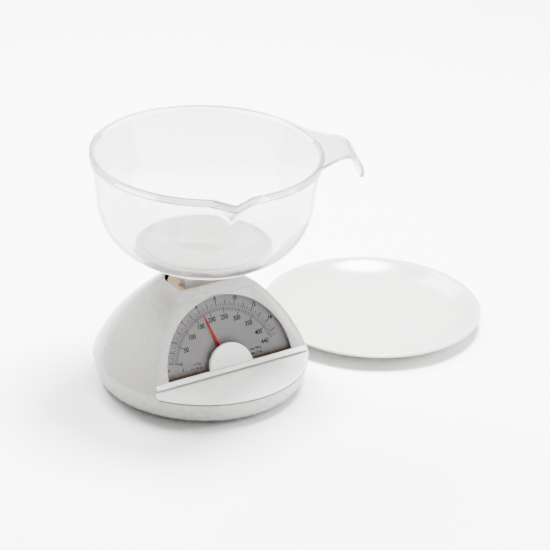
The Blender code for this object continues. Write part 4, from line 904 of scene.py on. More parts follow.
# ------------------------------------------------------------------------------- dial
@dataclass
class Dial:
    """The slanted dial: panel, ledge, window, hub cover, printed plate and pointer."""

    margin: float = 0.0016
    seam: float = 0.00012
    panel_depth: float = 0.0020
    panel_bottom: float = -0.0022
    window_radius: float = 0.0495
    window_bottom: float = 0.0012
    lens_radius: float = 0.0503
    lens_front: float = 0.0023
    lens_thick: float = 0.0008
    lens_bottom: float = 0.0004
    well_gap: float = 0.0003
    well_bottom: float = -0.0002
    well_depth: float = 0.012
    well_clear: float = 0.01
    tail_radius: float = 0.0100
    tail_cover: float = 0.0006
    hub_radius: float = 0.0169
    hub_proud: float = 0.0010
    hub_depth: float = 0.0020
    hub_gap: float = 0.0001
    hub_soft: float = 0.0005
    panel_soft: float = 0.00025
    ledge_proud: float = 0.0024
    ledge_root: float = 0.0008
    ledge_face: float = 0.0014
    ledge_top: float = 0.0001
    ledge_past: float = 0.0006
    ledge_round: float = 0.0004
    ledge_middle: tuple = (-0.0008, -0.0010)
    ledge_end_power: int = 24
    plate_depth: float = 0.0050
    plate_thick: float = 0.0006
    plate_radius: float = 0.0515
    plate_drop: float = 0.0040
    pointer_depth: float = 0.0037
    pointer_rest: float = math.radians(105)
    zero_angle: float = math.radians(163.5)
    gram_turn: float = math.radians(0.3303)
    ounce_turn: float = math.radians(9.364)
    full_grams: int = 440
    full_quarters: int = 62
    bush_radius: float = 0.0022
    print_thick: float = 0.00003
    gram_ticks: tuple = (0.0411, 0.0390, 0.0384, 0.0366)
    ounce_ticks: tuple = (0.0417, 0.0434, 0.0446, 0.0458)
    gram_half: tuple = (0.00016, 0.00024)
    ounce_half: tuple = (0.00016, 0.00025)
    gram_values: tuple = (50, 100, 150, 200, 250, 300, 350, 400, 440)
    ounce_values: tuple = (2, 4, 6, 8, 10, 12, 14)
    gram_number: tuple = (0.0342, 0.0033)
    ounce_number: tuple = (0.0474, 0.0028)
    captions: tuple = (
        ("0", -0.0456, 0.0118, 0.0021),
        ("oz", -0.0452, 0.0084, 0.0018),
        ("0", -0.0345, 0.0103, 0.0024),
        ("g", -0.0342, 0.0067, 0.0020),
        ("1 = 5 g", -0.0232, 0.0078, 0.0018),
        ("1 = 1/4 oz", -0.0240, 0.0050, 0.0018),
        ("max 440 g", 0.0240, 0.0078, 0.0018),
        ("max 15 oz", 0.0240, 0.0050, 0.0018),
    )
    letter_size: float = 1.38
    letter_weight: float = 0.034
    letter_narrow: float = 0.86
    # Thickness of the tan strips of painted shade at the plate's foot.
    shade_strip_thick: float = 0.0003
    needle_steps: int = 24
    needle_roof: float = 0.0002
    needle_blunt: float = 0.7
    needle_thin: float = 0.0008

    def face_outline(self, margin: float, bottom: float) -> Array:
        """The slanted face drawn in by a margin, from its lower right corner, in dial coordinates."""
        sine = math.sin(PLACES.dial_slant)
        top = (HOUSING.panel_top - PLACES.dial_z) / sine - margin
        up = np.linspace(bottom, top, 41)
        half = HOUSING.face_half(PLACES.dial_z + up * sine) - margin
        right = np.column_stack([half, up])
        return np.concatenate([right, right[::-1] * np.array([-1, 1])])

    def half_disc(self, radius: float, bottom: float, count: int = 180) -> Array:
        """The part of a disc above a level line."""
        start = math.asin(bottom / radius)
        return arc(radius, start, math.pi - start, count)

    def room_cutters(self) -> list:
        """Cutters for the panel's recess, the window's well and the pointer's tail."""
        recess = self.face_outline(self.margin - self.seam, self.panel_bottom - self.seam)
        well = self.half_disc(self.lens_radius + self.well_gap, self.well_bottom)
        tail = arc(self.tail_radius, 0, math.tau, 64)[:-1]
        recess_floor, tail_roof = -self.panel_depth - self.well_gap, self.tail_cover - self.pointer_depth
        return [
            prism("recess_cutter", recess, recess_floor, self.well_clear, PLACES.dial),
            prism("well_cutter", well, -self.well_depth, self.well_clear, PLACES.dial),
            prism("tail_cutter", tail, -self.well_depth, tail_roof, PLACES.dial),
        ]

    def build(self) -> None:
        """Makes every piece of the dial."""
        self.panel()
        self.ledge()
        self.hub_cover()
        self.lens()
        self.plate()
        self.painted_shade_strips()
        self.scale_print()
        self.pointer()

    def panel(self) -> None:
        """The flush panel with its half-round window."""
        outline = self.face_outline(self.margin, self.panel_bottom)
        panel = prism("dial_panel", outline, -self.panel_depth, 0.0, PLACES.dial)
        opening = self.half_disc(self.window_radius, self.window_bottom)
        window = prism("window_cutter", opening, -CUT_PAST, CUT_PAST, PLACES.dial)
        carve(panel, [window])
        soften(panel, self.panel_soft, 2)
        # The panel wears the shade-darkened white: painted shade.
        dress(panel, SHADE_DARKENED_WHITE, Body.BASE, "dial_bezel")

    def lens(self) -> None:
        """The clear sheet behind the window."""
        outline = self.half_disc(self.lens_radius, self.lens_bottom)
        back = -self.lens_front - self.lens_thick
        lens = prism("dial_lens", outline, back, -self.lens_front, PLACES.dial)
        dress(lens, LENS, Body.BASE, "dial_window")

    def ledge(self) -> None:
        """The bar under the window: a wedge profile carried across the face, drawn in at its ends."""
        wedge = np.array([
            [-self.ledge_root, self.panel_bottom], [self.ledge_proud, self.panel_bottom],
            [self.ledge_proud, -self.ledge_face],
            [self.ledge_top, self.window_bottom], [-self.ledge_root, self.window_bottom],
        ])
        loop = np.concatenate([wedge[-1:], wedge, wedge[:1]])
        profile = rounded(loop, self.ledge_round, 4)[1:-1]
        half = float(self.face_outline(self.margin, self.panel_bottom)[0, 0]) + self.ledge_past
        share = np.linspace(-1, 1, 81)
        across = np.sin(share * math.pi / 2) * half
        shrink = np.sqrt(np.maximum(1 - np.abs(share) ** self.ledge_end_power, 0))
        middle = np.array(self.ledge_middle)
        section = middle + (profile[None] - middle) * shrink[:, None, None]
        grid = np.stack([across[:, None] + 0 * section[..., 0], section[..., 1], section[..., 0]], axis=-1)
        ledge = surface("dial_ledge", moved(grid.transpose(1, 0, 2), PLACES.dial), Wrap.AROUND, 50)
        # The ledge belongs with the panel, but it wears the lighter apron white so that it reads lit: painted
        # light.
        dress(ledge, APRON_WHITE, Body.BASE)

    def hub_cover(self) -> None:
        """The half-round cover over the pointer's hub."""
        outline = self.half_disc(self.hub_radius, self.window_bottom + self.hub_gap, 96)
        cover = prism("hub_cap", outline, -self.hub_depth, self.hub_proud, PLACES.dial)
        soften(cover, self.hub_soft, 4)
        dress(cover, APRON_WHITE, Body.BASE, "hub_cover")

    def plate(self) -> None:
        """The dial's sheet."""
        foot = [[-self.plate_radius, -self.plate_drop], [self.plate_radius, -self.plate_drop]]
        outline = np.concatenate([arc(self.plate_radius, 0, math.pi, 128), foot])
        back = -self.plate_depth - self.plate_thick
        plate = prism("dial_sheet", outline, back, -self.plate_depth, PLACES.dial)
        round_hole = arc(self.bush_radius, 0, math.tau, 32)[:-1]
        hole = prism("bush_cutter", round_hole, -CUT_PAST, 0.0, PLACES.dial)
        carve(plate, [hole])
        dress(plate, SILVER, Body.BASE, "dial_plate")

    def ticks(self, name: str, angles: Array, inner: Array, outer: Array, half: Array) -> bpy.types.Object:
        """Thin bars on the plate: each runs from inner to outer along its angle.

        Args:
            name: the object's name.
            angles: each bar's angle.
            inner: where each starts, from the dial's centre.
            outer: where each ends.
            half: half of each bar's width.

        Returns:
            The object.
        """
        signs = np.array([[a, b, c] for a in (0, 1) for b in (-1, 1) for c in (0, 1)], float)
        along = inner[:, None] + (outer - inner)[:, None] * signs[None, :, 0]
        side = half[:, None] * signs[None, :, 1]
        depth = -self.plate_depth + self.print_thick * signs[None, :, 2] + 0 * along
        cosine, sine = np.cos(angles)[:, None], np.sin(angles)[:, None]
        points = np.stack([along * cosine - side * sine, along * sine + side * cosine, depth], axis=-1)
        box = np.array([[0, 1, 3, 2], [4, 6, 7, 5], [0, 4, 5, 1], [2, 3, 7, 6], [0, 2, 6, 4], [1, 5, 7, 3]])
        faces = (box[None] + 8 * np.arange(len(angles))[:, None, None]).reshape(-1, 4)
        return object_from(name, moved(points.reshape(-1, 3), PLACES.dial), faces)

    def lettering(self, name: str, labels: list) -> bpy.types.Object:
        """Numbers on the plate, each a thin solid, upright in the dial's plane.

        Args:
            name: the object's name.
            labels: tuples of text, across, up and height.

        Returns:
            One object that holds them all.
        """
        points, faces, count = [], [], 0
        for text, across, up, height in labels:
            font = bpy.data.curves.new(name, "FONT")
            font.body = text
            font.size = height * self.letter_size
            font.align_x = "CENTER"
            font.align_y = "CENTER"
            font.extrude = self.print_thick / 2
            font.offset = height * self.letter_weight
            font.resolution_u = 3
            guide = bpy.data.objects.new(name, font)
            bpy.context.scene.collection.objects.link(guide)
            bpy.context.view_layer.update()
            graph = bpy.context.evaluated_depsgraph_get()
            flat = bpy.data.meshes.new_from_object(guide.evaluated_get(graph))
            flat.calc_loop_triangles()
            corners = np.empty(len(flat.vertices) * 3, np.float32)
            flat.vertices.foreach_get("co", corners)
            corners = corners.reshape(-1, 3).astype(float) * np.array([self.letter_narrow, 1, 1])
            triangles = np.empty(len(flat.loop_triangles) * 3, np.int32)
            flat.loop_triangles.foreach_get("vertices", triangles)
            points.append(corners + np.array([across, up, -self.plate_depth + self.print_thick / 2]))
            faces.append(triangles.reshape(-1, 3) + count)
            count += len(corners)
            bpy.data.objects.remove(guide)
        return object_from(name, moved(np.concatenate(points), PLACES.dial), np.concatenate(faces))

    def painted_shade_strips(self) -> None:
        """Two level tan strips along the plate's foot, left and right of the hub: painted warm shade for the
        gap under the plate.
        """
        right = np.array([[0.0186, 0.0005], [0.0488, 0.0005], [0.0486, 0.0026], [0.0182, 0.0026]])
        left = (right * (-1, 1))[::-1]
        front = -self.plate_depth + self.shade_strip_thick
        # Each strip is tan: painted shade.
        for name, outline in (("right_shade_strip", right), ("left_shade_strip", left)):
            strip = prism(name, outline, -self.plate_depth, front, PLACES.dial)
            dress(strip, WARM_SHADE_TAN, Body.BASE)

    def numbers(self, values: tuple, turn: float, reach: float, height: float) -> list:
        """Labels for values set round the dial.

        Args:
            values: the numbers.
            turn: angle for one unit.
            reach: their distance from the dial's centre.
            height: their height.

        Returns:
            Tuples of text, across, up and height.
        """
        angles = [self.zero_angle - value * turn for value in values]
        return [
            (str(value), reach * math.cos(angle), reach * math.sin(angle), height)
            for value, angle in zip(values, angles)
        ]

    def scale_print(self) -> None:
        """Marks and numbers: grams inside, ounces outside."""
        grams = np.arange(0, self.full_grams + 1, 5)
        angles = self.zero_angle - grams * self.gram_turn
        outer, short, middle, long = self.gram_ticks
        thin, thick = self.gram_half
        inner = np.where(grams % 50 == 0, long, np.where(grams % 10 == 0, middle, short))
        half = np.where(grams % 50 == 0, thick, thin)
        dress(self.ticks("gram_marks", angles, inner, np.full(len(grams), outer), half), INK, Body.BASE)
        quarters = np.arange(0, self.full_quarters + 1)
        angles = self.zero_angle - quarters / 4 * self.ounce_turn
        inner, short, middle, long = self.ounce_ticks
        thin, thick = self.ounce_half
        outer = np.where(quarters % 4 == 0, long, np.where(quarters % 2 == 0, middle, short))
        half = np.where(quarters % 4 == 0, thick, thin)
        dress(self.ticks("ounce_marks", angles, np.full(len(quarters), inner), outer, half), INK, Body.BASE)
        labels = self.numbers(self.gram_values, self.gram_turn, *self.gram_number)
        labels += self.numbers(self.ounce_values, self.ounce_turn, *self.ounce_number)
        labels += self.captions
        dress(self.lettering("dial_numbers", labels), INK, Body.BASE)

    def pointer(self) -> None:
        """A long red needle with a low roof, and its round boss under the cover."""
        reach = np.array([-0.0070, -0.0068, 0.0, 0.010, 0.020, 0.030, 0.0385, 0.0397, 0.0400])
        half = np.array([0.0001, 0.0017, 0.0016, 0.00150, 0.00115, 0.00070, 0.00032, 0.00022, 0.00005])
        around = np.linspace(0, math.tau, self.needle_steps, endpoint=False)
        flat = np.sign(np.cos(around)) * np.abs(np.cos(around)) ** self.needle_blunt
        share = np.minimum(1, half / self.needle_thin)[:, None]
        middle = -self.pointer_depth - self.needle_roof
        height = self.needle_roof * np.sin(around) * share + middle
        grid = np.stack([reach[:, None] + 0 * around, half[:, None] * flat, height], axis=-1)
        tips = np.array([[[end, 0, middle]] for end in (reach[0], reach[-1])])
        start, end = np.repeat(tips, self.needle_steps, axis=1)[:, None]
        grid = np.concatenate([start, grid, end])
        place = PLACES.dial @ Matrix.Rotation(self.pointer_rest, 4, "Z")
        needle = surface("pointer_needle", moved(grid.transpose(1, 0, 2), place), Wrap.AROUND, 60)
        dress(needle, RED, Body.POINTER, "pointer")
        bore, rim, back, front = 0.00115, 0.0032, -0.0045, -self.pointer_depth
        ring = np.array([[bore, back], [rim, back], [rim, front], [bore, front], [bore, back]])
        boss = revolve("pointer_boss", ring, PLACES.dial, 32)
        dress(boss, RED, Body.POINTER)


HOUSING = Housing()
DIAL = Dial()


# ------------------------------------------------------------------------------- apron
@dataclass
class Apron:
    """The crescent in front of the dial: a slightly crowned top that rolls over a round front."""

    low: float = 0.0184
    back_top: float = 0.0228
    front_top: float = 0.0203
    gap: float = 0.0004
    set_back: float = 0.0005
    roll: float = 0.0014
    crown: float = 0.0007
    crown_depth: float = 0.02
    foot_lip: float = 0.0005
    tip_gap: float = 0.0002
    tip_depth: float = 0.0004
    roll_share: float = 0.4
    lip_share: float = 0.2
    foot_share: float = 0.3

    def build(self) -> None:
        """Carries the cross-section from tip to tip.

        At each place across, the top runs from the face to the hull's arc with a sine crown, a
        quarter circle rolls over the front, and the rest closes below. The roll shrinks with the
        depth left towards the tips.
        """
        radius = HOUSING.waist_radius - self.set_back
        back = float(HOUSING.face_y(np.array(self.back_top))) - self.gap
        reach = math.sqrt(radius**2 - back**2) - self.tip_gap
        across = np.sin(np.linspace(-1, 1, 161) * math.pi / 2) * reach
        front = -np.sqrt(radius**2 - across**2)
        depth = np.maximum(back - front, self.tip_depth)
        slope = (self.back_top - self.front_top) / (radius + back)
        roll = np.minimum(self.roll, depth * self.roll_share)[:, None]
        edge = self.front_top + slope * (front + radius)
        share = np.linspace(0, 1, 31)[None]
        y_top = back + (front[:, None] + roll - back) * share
        crown = self.crown * np.sin(math.pi * share) * np.minimum(1, depth / self.crown_depth)[:, None]
        z_top = self.front_top + slope * (y_top + radius) + crown
        turn = np.linspace(0, math.pi / 2, 8)[None, 1:]
        y_roll = front[:, None] + roll - roll * np.sin(turn)
        z_roll = (edge + slope * roll[:, 0])[:, None] - roll + roll * np.cos(turn)
        tuck = np.minimum(self.foot_lip, depth * self.lip_share)[:, None]
        y_low = front[:, None] + tuck * (1 - np.cos(turn))
        z_low = self.low + self.foot_lip * (1 - np.sin(turn)) + 0 * y_low
        foot_back = float(HOUSING.face_y(np.array(self.low))) - self.gap
        y_foot = np.maximum(min(foot_back, back), front + self.foot_share * depth)[:, None]
        z_foot = np.full_like(y_foot, self.low)
        y = np.concatenate([y_top, y_roll, y_low, y_foot], axis=1)
        z = np.concatenate([z_top, z_roll, z_low, z_foot], axis=1)
        grid = np.stack([across[:, None] + 0 * y, y, z], axis=-1)
        first = np.broadcast_to(grid[:1].mean(axis=1, keepdims=True), grid[:1].shape)
        last = np.broadcast_to(grid[-1:].mean(axis=1, keepdims=True), grid[-1:].shape)
        grid = np.concatenate([first, grid, last]).transpose(1, 0, 2)
        apron = surface("apron_crescent", moved(grid, PLACES.upright), Wrap.AROUND, 50)
        dress(apron, APRON_WHITE, Body.BASE, "front_apron")


# ------------------------------------------------------------------------------- bowl
@dataclass
class Bowl:
    """The clear pouring bowl: foot ring, bulged wall, folded spout and a hooked handle."""

    wall: float = 0.0025
    foot_radius: float = 0.0460
    foot_width: float = 0.0034
    floor_under: float = 0.0017
    bulge_radius: float = 0.0728
    bulge_rise: float = 0.0360
    bulge_power: float = 1.75
    rim_radius: float = 0.0780
    height: float = 0.0700
    flare_power: float = 1.3
    rim_round: float = 0.0007
    spout_angle: float = math.radians(-110)
    spout_half: float = math.radians(11.5)
    spout_reach: float = 0.0900
    spout_drop: float = 0.0175
    handle_angle: float = math.radians(-23)
    handle_half: float = math.radians(36.5)
    handle_bend: float = 0.0900
    handle_end_half: float = 0.0175
    handle_thick: float = 0.0024
    hook_radius: float = 0.0115
    hook_drop: float = 0.0045
    hook_corner: float = 0.0060
    handle_waist: tuple = (0.0765, 0.0262)
    handle_run: float = 0.0020
    edge_growth: float = 0.004
    under_reach: float = 0.0008
    under_drop: float = 0.0012
    first_ring: float = 0.0004
    last_ring: float = 0.0046
    ring_spread: float = 0.35
    inner_inset: float = 0.85
    spout_soft: float = 0.0005
    spout_span: float = 0.6
    spout_near: float = 0.30
    gate_rise: float = 0.0003
    gate_radii: tuple = (0.0012, 0.0016)
    floor_start: float = 0.006
    floor_gap: float = 0.003
    bend_gap: float = 0.0012
    bend_rise: float = 0.0001
    rim_gap: float = 0.0001
    foot_round: float = 0.0003
    base_radii: tuple = (0.03, 0.012, 0.0)
    base_angles: int = 240
    spout_angles: int = 121
    handle_angles: int = 181
    wall_steps: int = 60
    flange_steps: int = 34

    def outer(self, height: Array) -> Array:
        """Outer radius: a superellipse quarter up to the bulge, then a power curve to the rim."""
        drop = 1 - np.clip(height / self.bulge_rise, 0, 1)
        swell = (1 - drop**self.bulge_power) ** (1 / self.bulge_power)
        low = self.foot_radius + (self.bulge_radius - self.foot_radius) * swell
        climb = np.clip((height - self.bulge_rise) / (self.height - self.bulge_rise), 0, 1)
        high = self.bulge_radius + (self.rim_radius - self.bulge_radius) * climb**self.flare_power
        return np.where(height <= self.bulge_rise, low, high)

    def wall_pair(self, height: Array) -> tuple[Array, Array]:
        """Outer wall (r, z) and the inner wall square behind it, by the slope over a small step."""
        step = 1e-5
        low, high = np.maximum(height - step, 0), np.minimum(height + step, self.height)
        run = (self.outer(high) - self.outer(low)) / (high - low)
        length = np.hypot(1, run)
        outer = np.column_stack([self.outer(height), height])
        inner = outer - self.wall * np.column_stack([1 / length, -run / length])
        return outer, inner

    def facet(self, turn: Array, height: Array, inset: float) -> Array:
        """Radius of the spout's two flat facets at an angle from its middle and a height.

        A facet is the plane through the spout's tip, its low point and the rim's side point, so
        along a ray the radius is what is left of the tip's reach at that height, over
        cos(turn) + sweep |sin(turn)|.

        Args:
            turn: angle from the spout's middle.
            height: height above the bowl's base.
            inset: how far the plane is drawn in along its normal.

        Returns:
            The radius.
        """
        side = self.rim_radius * math.sin(self.spout_half)
        along = self.rim_radius * math.cos(self.spout_half)
        sweep = (self.spout_reach - along) / side
        low_radius = float(self.outer(np.array(self.height - self.spout_drop)))
        rake = (self.spout_reach - low_radius) / self.spout_drop
        tip = self.spout_reach - inset * math.sqrt(1 + sweep * sweep + rake * rake)
        return (tip - rake * (self.height - height)) / (np.cos(turn) + sweep * np.abs(np.sin(turn)))

    def pushed(self, radius: Array, height: Array, angle: Array, inset: float) -> Array:
        """Wall radius with the spout: the larger of wall and facet, with a soft change over."""
        turn = (angle - self.spout_angle + math.pi) % math.tau - math.pi
        facet = np.where(np.abs(turn) < self.spout_span, self.facet(turn, height, inset), 0.0)
        apart = np.clip((facet - radius) / self.spout_soft, -30, 30)
        return radius + self.spout_soft * np.log1p(np.exp(apart)) * (facet > 0)

    def angles(self) -> Array:
        """Angles round the axis, closer together at the spout and the handle."""
        base = np.linspace(-math.pi, math.pi, self.base_angles, endpoint=False)
        spout = self.spout_angle + np.linspace(-self.spout_near, self.spout_near, self.spout_angles)
        handle = self.handle_angle + np.linspace(-1, 1, self.handle_angles) * self.handle_half
        apart = 0.002
        near_spout = np.abs(base - self.spout_angle) < self.spout_near + apart
        near_handle = np.abs(base - self.handle_angle) < self.handle_half + apart
        return np.sort(np.concatenate([base[~(near_spout | near_handle)], spout, handle]))

    def handle_edge(self, share: Array) -> Array:
        """The handle's outline in its own flat plan (along, across), for shares from -1 to 1.

        Half of it runs from the rim along a slightly hollow side, straight along the hook, round
        the corner and across the tip. Shares are even in length.
        """
        start = self.rim_radius * np.array([math.cos(self.handle_half), math.sin(self.handle_half)])
        bend = np.array([self.handle_bend + self.handle_run, self.handle_end_half])
        t = np.linspace(0, 1, 60)[:, None]
        control = np.array(self.handle_waist)
        side = (1 - t) ** 2 * start + 2 * t * (1 - t) * control + t**2 * bend
        tip = self.handle_bend + (self.hook_radius + self.handle_thick / 2) * math.pi / 2 + self.hook_drop
        straight = self.handle_end_half - self.hook_corner
        corner = arc(self.hook_corner, math.pi / 2, 0, 16, (tip - self.hook_corner, straight))
        across = np.column_stack([np.full(12, tip), np.linspace(straight, 0, 13)[1:]])
        half = np.concatenate([side, corner, across])
        length = np.concatenate([[0], np.cumsum(np.linalg.norm(np.diff(half, axis=0), axis=1))])
        place = (1 - np.abs(share)) * length[-1]
        along = np.interp(place, length, half[:, 0])
        return np.stack([along, np.interp(place, length, half[:, 1]) * np.sign(share)], axis=-1)

    def bent(self, along: Array, across: Array, above: Array) -> Array:
        """Bends the flat handle down round the hook's centre line: past the bend's start the
        distance becomes an angle, and past a quarter turn a straight drop."""
        middle = self.hook_radius + self.handle_thick / 2
        past = np.maximum(along - self.handle_bend, 0)
        turn = np.minimum(past / middle, math.pi / 2)
        drop = np.maximum(past - middle * math.pi / 2, 0)
        reach = np.minimum(along, self.handle_bend) + (middle + above) * np.sin(turn)
        height = self.height - self.handle_thick / 2 - middle + (middle + above) * np.cos(turn) - drop
        return np.stack([reach, across, height], axis=-1)

    def flange(self, angle: Array, inner_rim: Array, outer_rim: Array) -> tuple[Array, Array, Array]:
        """Top, edge and underside of rim and handle, before the turn to the handle's place.

        Away from the handle the outline is the rim itself; along the handle it is the handle's
        edge. The top runs straight from the rim's inner edge to the outline, the edge is half a
        circle of the rim's thickness and the underside runs back to the wall and a little down.

        Args:
            angle: angles round the axis, (m,).
            inner_rim: the rim's inner radius at each.
            outer_rim: its outer radius at each.

        Returns:
            The three strips, each (m, steps, 3).
        """
        turn = (angle - self.handle_angle + math.pi) % math.tau - math.pi
        on_handle = np.abs(turn) < self.handle_half
        share = np.clip(turn / self.handle_half, -1, 1)
        outline = self.handle_edge(np.where(share == 0, 1e-9, share))
        rim = np.stack([outer_rim * np.cos(turn), outer_rim * np.sin(turn)], axis=-1)
        outline = np.where(on_handle[:, None], outline, rim)
        root = np.stack([inner_rim * np.cos(turn), inner_rim * np.sin(turn)], axis=-1)
        wall = np.stack([outer_rim * np.cos(turn), outer_rim * np.sin(turn)], axis=-1)
        reach = np.linalg.norm(outline - wall, axis=-1)
        grown = np.clip(reach / self.edge_growth, 0, 1)
        round_edge = self.rim_round + (self.handle_thick / 2 - self.rim_round) * grown
        tangent = np.gradient(outline, axis=0)
        normal = np.stack([tangent[:, 1], -tangent[:, 0]], axis=-1)
        normal /= np.linalg.norm(normal, axis=-1, keepdims=True)
        middle = outline - normal * round_edge[:, None]
        half = self.handle_thick / 2
        t = np.linspace(0, 1, self.flange_steps)[None, :, None]
        top = root[:, None] + (middle - root)[:, None] * t
        top = self.bent(top[..., 0], top[..., 1], np.full(top.shape[:2], half))
        swing = np.linspace(0, math.pi, 13)[None, 1:-1]
        out = middle[:, None] + normal[:, None] * (round_edge[:, None] * np.sin(swing))[..., None]
        above = half - round_edge[:, None] + round_edge[:, None] * np.cos(swing)
        edge = self.bent(out[..., 0], out[..., 1], above)
        return top, edge, self.underside(middle, wall, half, round_edge)

    def underside(self, middle: Array, wall: Array, half: float, round_edge: Array) -> Array:
        """The way back from the edge's foot to the wall and down it, even in length.

        Args:
            middle: centres of the rounded edge, (m, 2).
            wall: the outer wall's points under the rim, (m, 2).
            half: half the handle's thickness.
            round_edge: the edge's rounding, (m,).

        Returns:
            Points, (m, steps, 3).
        """
        depth = half - 2 * round_edge
        foot = np.column_stack([middle, depth])
        joint = np.column_stack([wall, depth])
        reach = np.linalg.norm(middle - wall, axis=-1)
        beyond = np.einsum("ij,ij->i", middle - wall, wall) > 0
        foot = np.where((beyond & (reach > self.under_reach))[:, None], foot, joint)
        low = np.column_stack([wall, np.full(len(wall), -self.handle_thick - self.under_drop)])
        first = np.linalg.norm(joint - foot, axis=-1)
        second = np.linalg.norm(low - joint, axis=-1)
        travel = np.linspace(0, 1, self.flange_steps)[None] * (first + second)[:, None]
        one = np.clip(travel / np.maximum(first, MERGE / 100)[:, None], 0, 1)[..., None]
        two = np.clip((travel - first[:, None]) / second[:, None], 0, 1)[..., None]
        path = foot[:, None] + (joint - foot)[:, None] * one + (low - joint)[:, None] * two
        straight_down = joint[:, None] + (low - joint)[:, None] * two
        path = np.where((first < MERGE)[:, None, None], straight_down, path)
        return self.bent(path[..., 0], path[..., 1], path[..., 2])

    def inside_profile(self, inner: Array) -> Array:
        """Profile (r, z) from the floor's middle out over the floor and up the inner wall to the rim.

        Args:
            inner: the inner wall's points.

        Returns:
            The profile, (n, 2).
        """
        floor = self.floor_under + self.wall
        inner = inner[inner[:, 1] > floor + self.gate_rise]
        wall_foot = inner[0, 0]
        rim_inner = self.rim_radius - self.wall
        near, far = self.gate_radii
        gate = np.array([[0, floor + self.gate_rise], [near, floor + self.gate_rise], [far, floor]])
        across = np.linspace(self.floor_start, wall_foot - self.floor_gap, 8)
        flat = np.column_stack([across, np.full_like(across, floor)])
        bend = np.array([[wall_foot - self.bend_gap, floor + self.bend_rise]])
        top = np.array([[rim_inner, self.height - self.rim_round]])
        centre = (rim_inner + self.rim_round, self.height - self.rim_round)
        roll = arc(self.rim_round, math.pi, math.pi / 2, 4, centre)
        return np.concatenate([gate, flat, bend, inner, top, roll[1:]])

    def foot_profile(self) -> Array:
        """Profile (r, z) of the foot ring and the underside of the floor, inwards to the middle."""
        outer, inner = self.foot_radius, self.foot_radius - self.foot_width
        ring = [[outer - self.foot_round, 0.0], [inner + self.foot_round, 0.0], [inner, self.foot_round]]
        under = [[radius, self.floor_under] for radius in (inner, *self.base_radii)]
        return np.array(ring + under)

    def spouted(self, angle: Array, profile: Array, inset: float) -> Array:
        """Radii (angles, points) of a profile at each angle, with the spout in its upper half."""
        plain, height = profile[None, :, 0], profile[None, :, 1]
        return np.where(height > self.height / 2, self.pushed(plain, height, angle[:, None], inset), plain)

    def build(self) -> None:
        """Joins floor, inner wall, rim, handle, outer wall and foot into one closed surface."""
        angle = self.angles()
        steps = np.linspace(0, 1, self.wall_steps)
        spread = self.ring_spread * steps + (1 - self.ring_spread) * steps**2
        outer, inner = self.wall_pair(self.first_ring + (self.height - self.last_ring) * spread)
        inside, down, foot = self.inside_profile(inner), outer[::-1], self.foot_profile()
        inside_radius = self.spouted(angle, inside, self.wall * self.inner_inset)
        rim_height = np.full(len(angle), self.height)
        rim_outer = self.pushed(np.full(len(angle), self.rim_radius), rim_height, angle, 0.0)
        flange = self.flange(angle, inside_radius[:, -1] + self.rim_gap, rim_outer)
        turn = Matrix.Rotation(self.handle_angle, 4, "Z")
        grid = np.concatenate([
            self.around(angle, inside_radius, inside[:, 1]),
            *(moved(part, turn) for part in flange),
            self.around(angle, self.spouted(angle, down, 0.0), down[:, 1]),
            self.around(angle, foot[:, 0], foot[:, 1]),
        ], axis=1)
        low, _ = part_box("bowl")
        place = PLACES.upright @ Matrix.Translation((0, 0, low.z))
        bowl = surface("pouring_bowl", moved(grid, place), Wrap.AROUND, 45)
        dress(bowl, CLEAR, Body.BOWL, "bowl")

    def around(self, angle: Array, radius: Array, height: Array) -> Array:
        """Grid (m, n, 3) of points at angles (m,), with radii (m, n) or (n,) and heights (n,)."""
        turn = angle[:, None]
        x, y = radius * np.cos(turn), radius * np.sin(turn)
        return np.stack([x, y, np.broadcast_to(height, x.shape)], axis=-1)


# ------------------------------------------------------------------------------- platform, dish
@dataclass
class Platform:
    """The round platform under the bowl with the socket that grips the post."""

    radius: float = 0.0465
    top: float = 0.0997
    thick: float = 0.0022
    step: float = 0.0017
    centre_radius: float = 0.0422
    step_lean: float = 0.0004
    under_gap: float = 0.0020
    under_lean: float = 0.0002
    edge_round: float = 0.0005
    socket_half: tuple = (0.0181, 0.0053)
    socket_wall: float = 0.0018
    socket_depth: float = 0.0065
    socket_roof: float = 0.0028
    socket_gap: float = 0.0001
    socket_soft: float = 0.0003

    def build(self) -> None:
        """Turns the disc and carries the socket's frame down from it."""
        self.disc()
        self.socket()

    def disc(self) -> None:
        """The round plate with its raised middle."""
        high = self.top + self.step
        under = self.centre_radius - self.under_gap
        profile = np.array([
            [0, high], [self.centre_radius - self.step_lean, high], [self.centre_radius, self.top],
            [self.radius, self.top], [self.radius, self.top - self.thick], [under, self.top - self.thick],
            [under - self.under_lean, high - self.thick], [0, high - self.thick],
        ])
        disc = revolve("platform_disc", rounded(profile, self.edge_round), PLACES.upright, 160)
        dress(disc, PLATFORM_WHITE, Body.POST, "platform")

    def socket(self) -> None:
        """The box below the plate that grips the post."""
        under = self.top + self.step - self.thick
        corners = np.array([[-1, -1], [1, -1], [1, 1], [-1, 1]])
        outer = corners * self.socket_half
        inner = corners * [half - self.socket_wall for half in self.socket_half]
        low, high = under - self.socket_depth, under - self.socket_gap
        socket = prism("platform_socket", outer, low, high, PLACES.upright)
        room = prism("socket_cutter", inner, under - CUT_PAST, under - self.socket_roof, PLACES.upright)
        carve(socket, [room])
        soften(socket, self.socket_soft, 2)
        dress(socket, PLATFORM_WHITE, Body.POST)


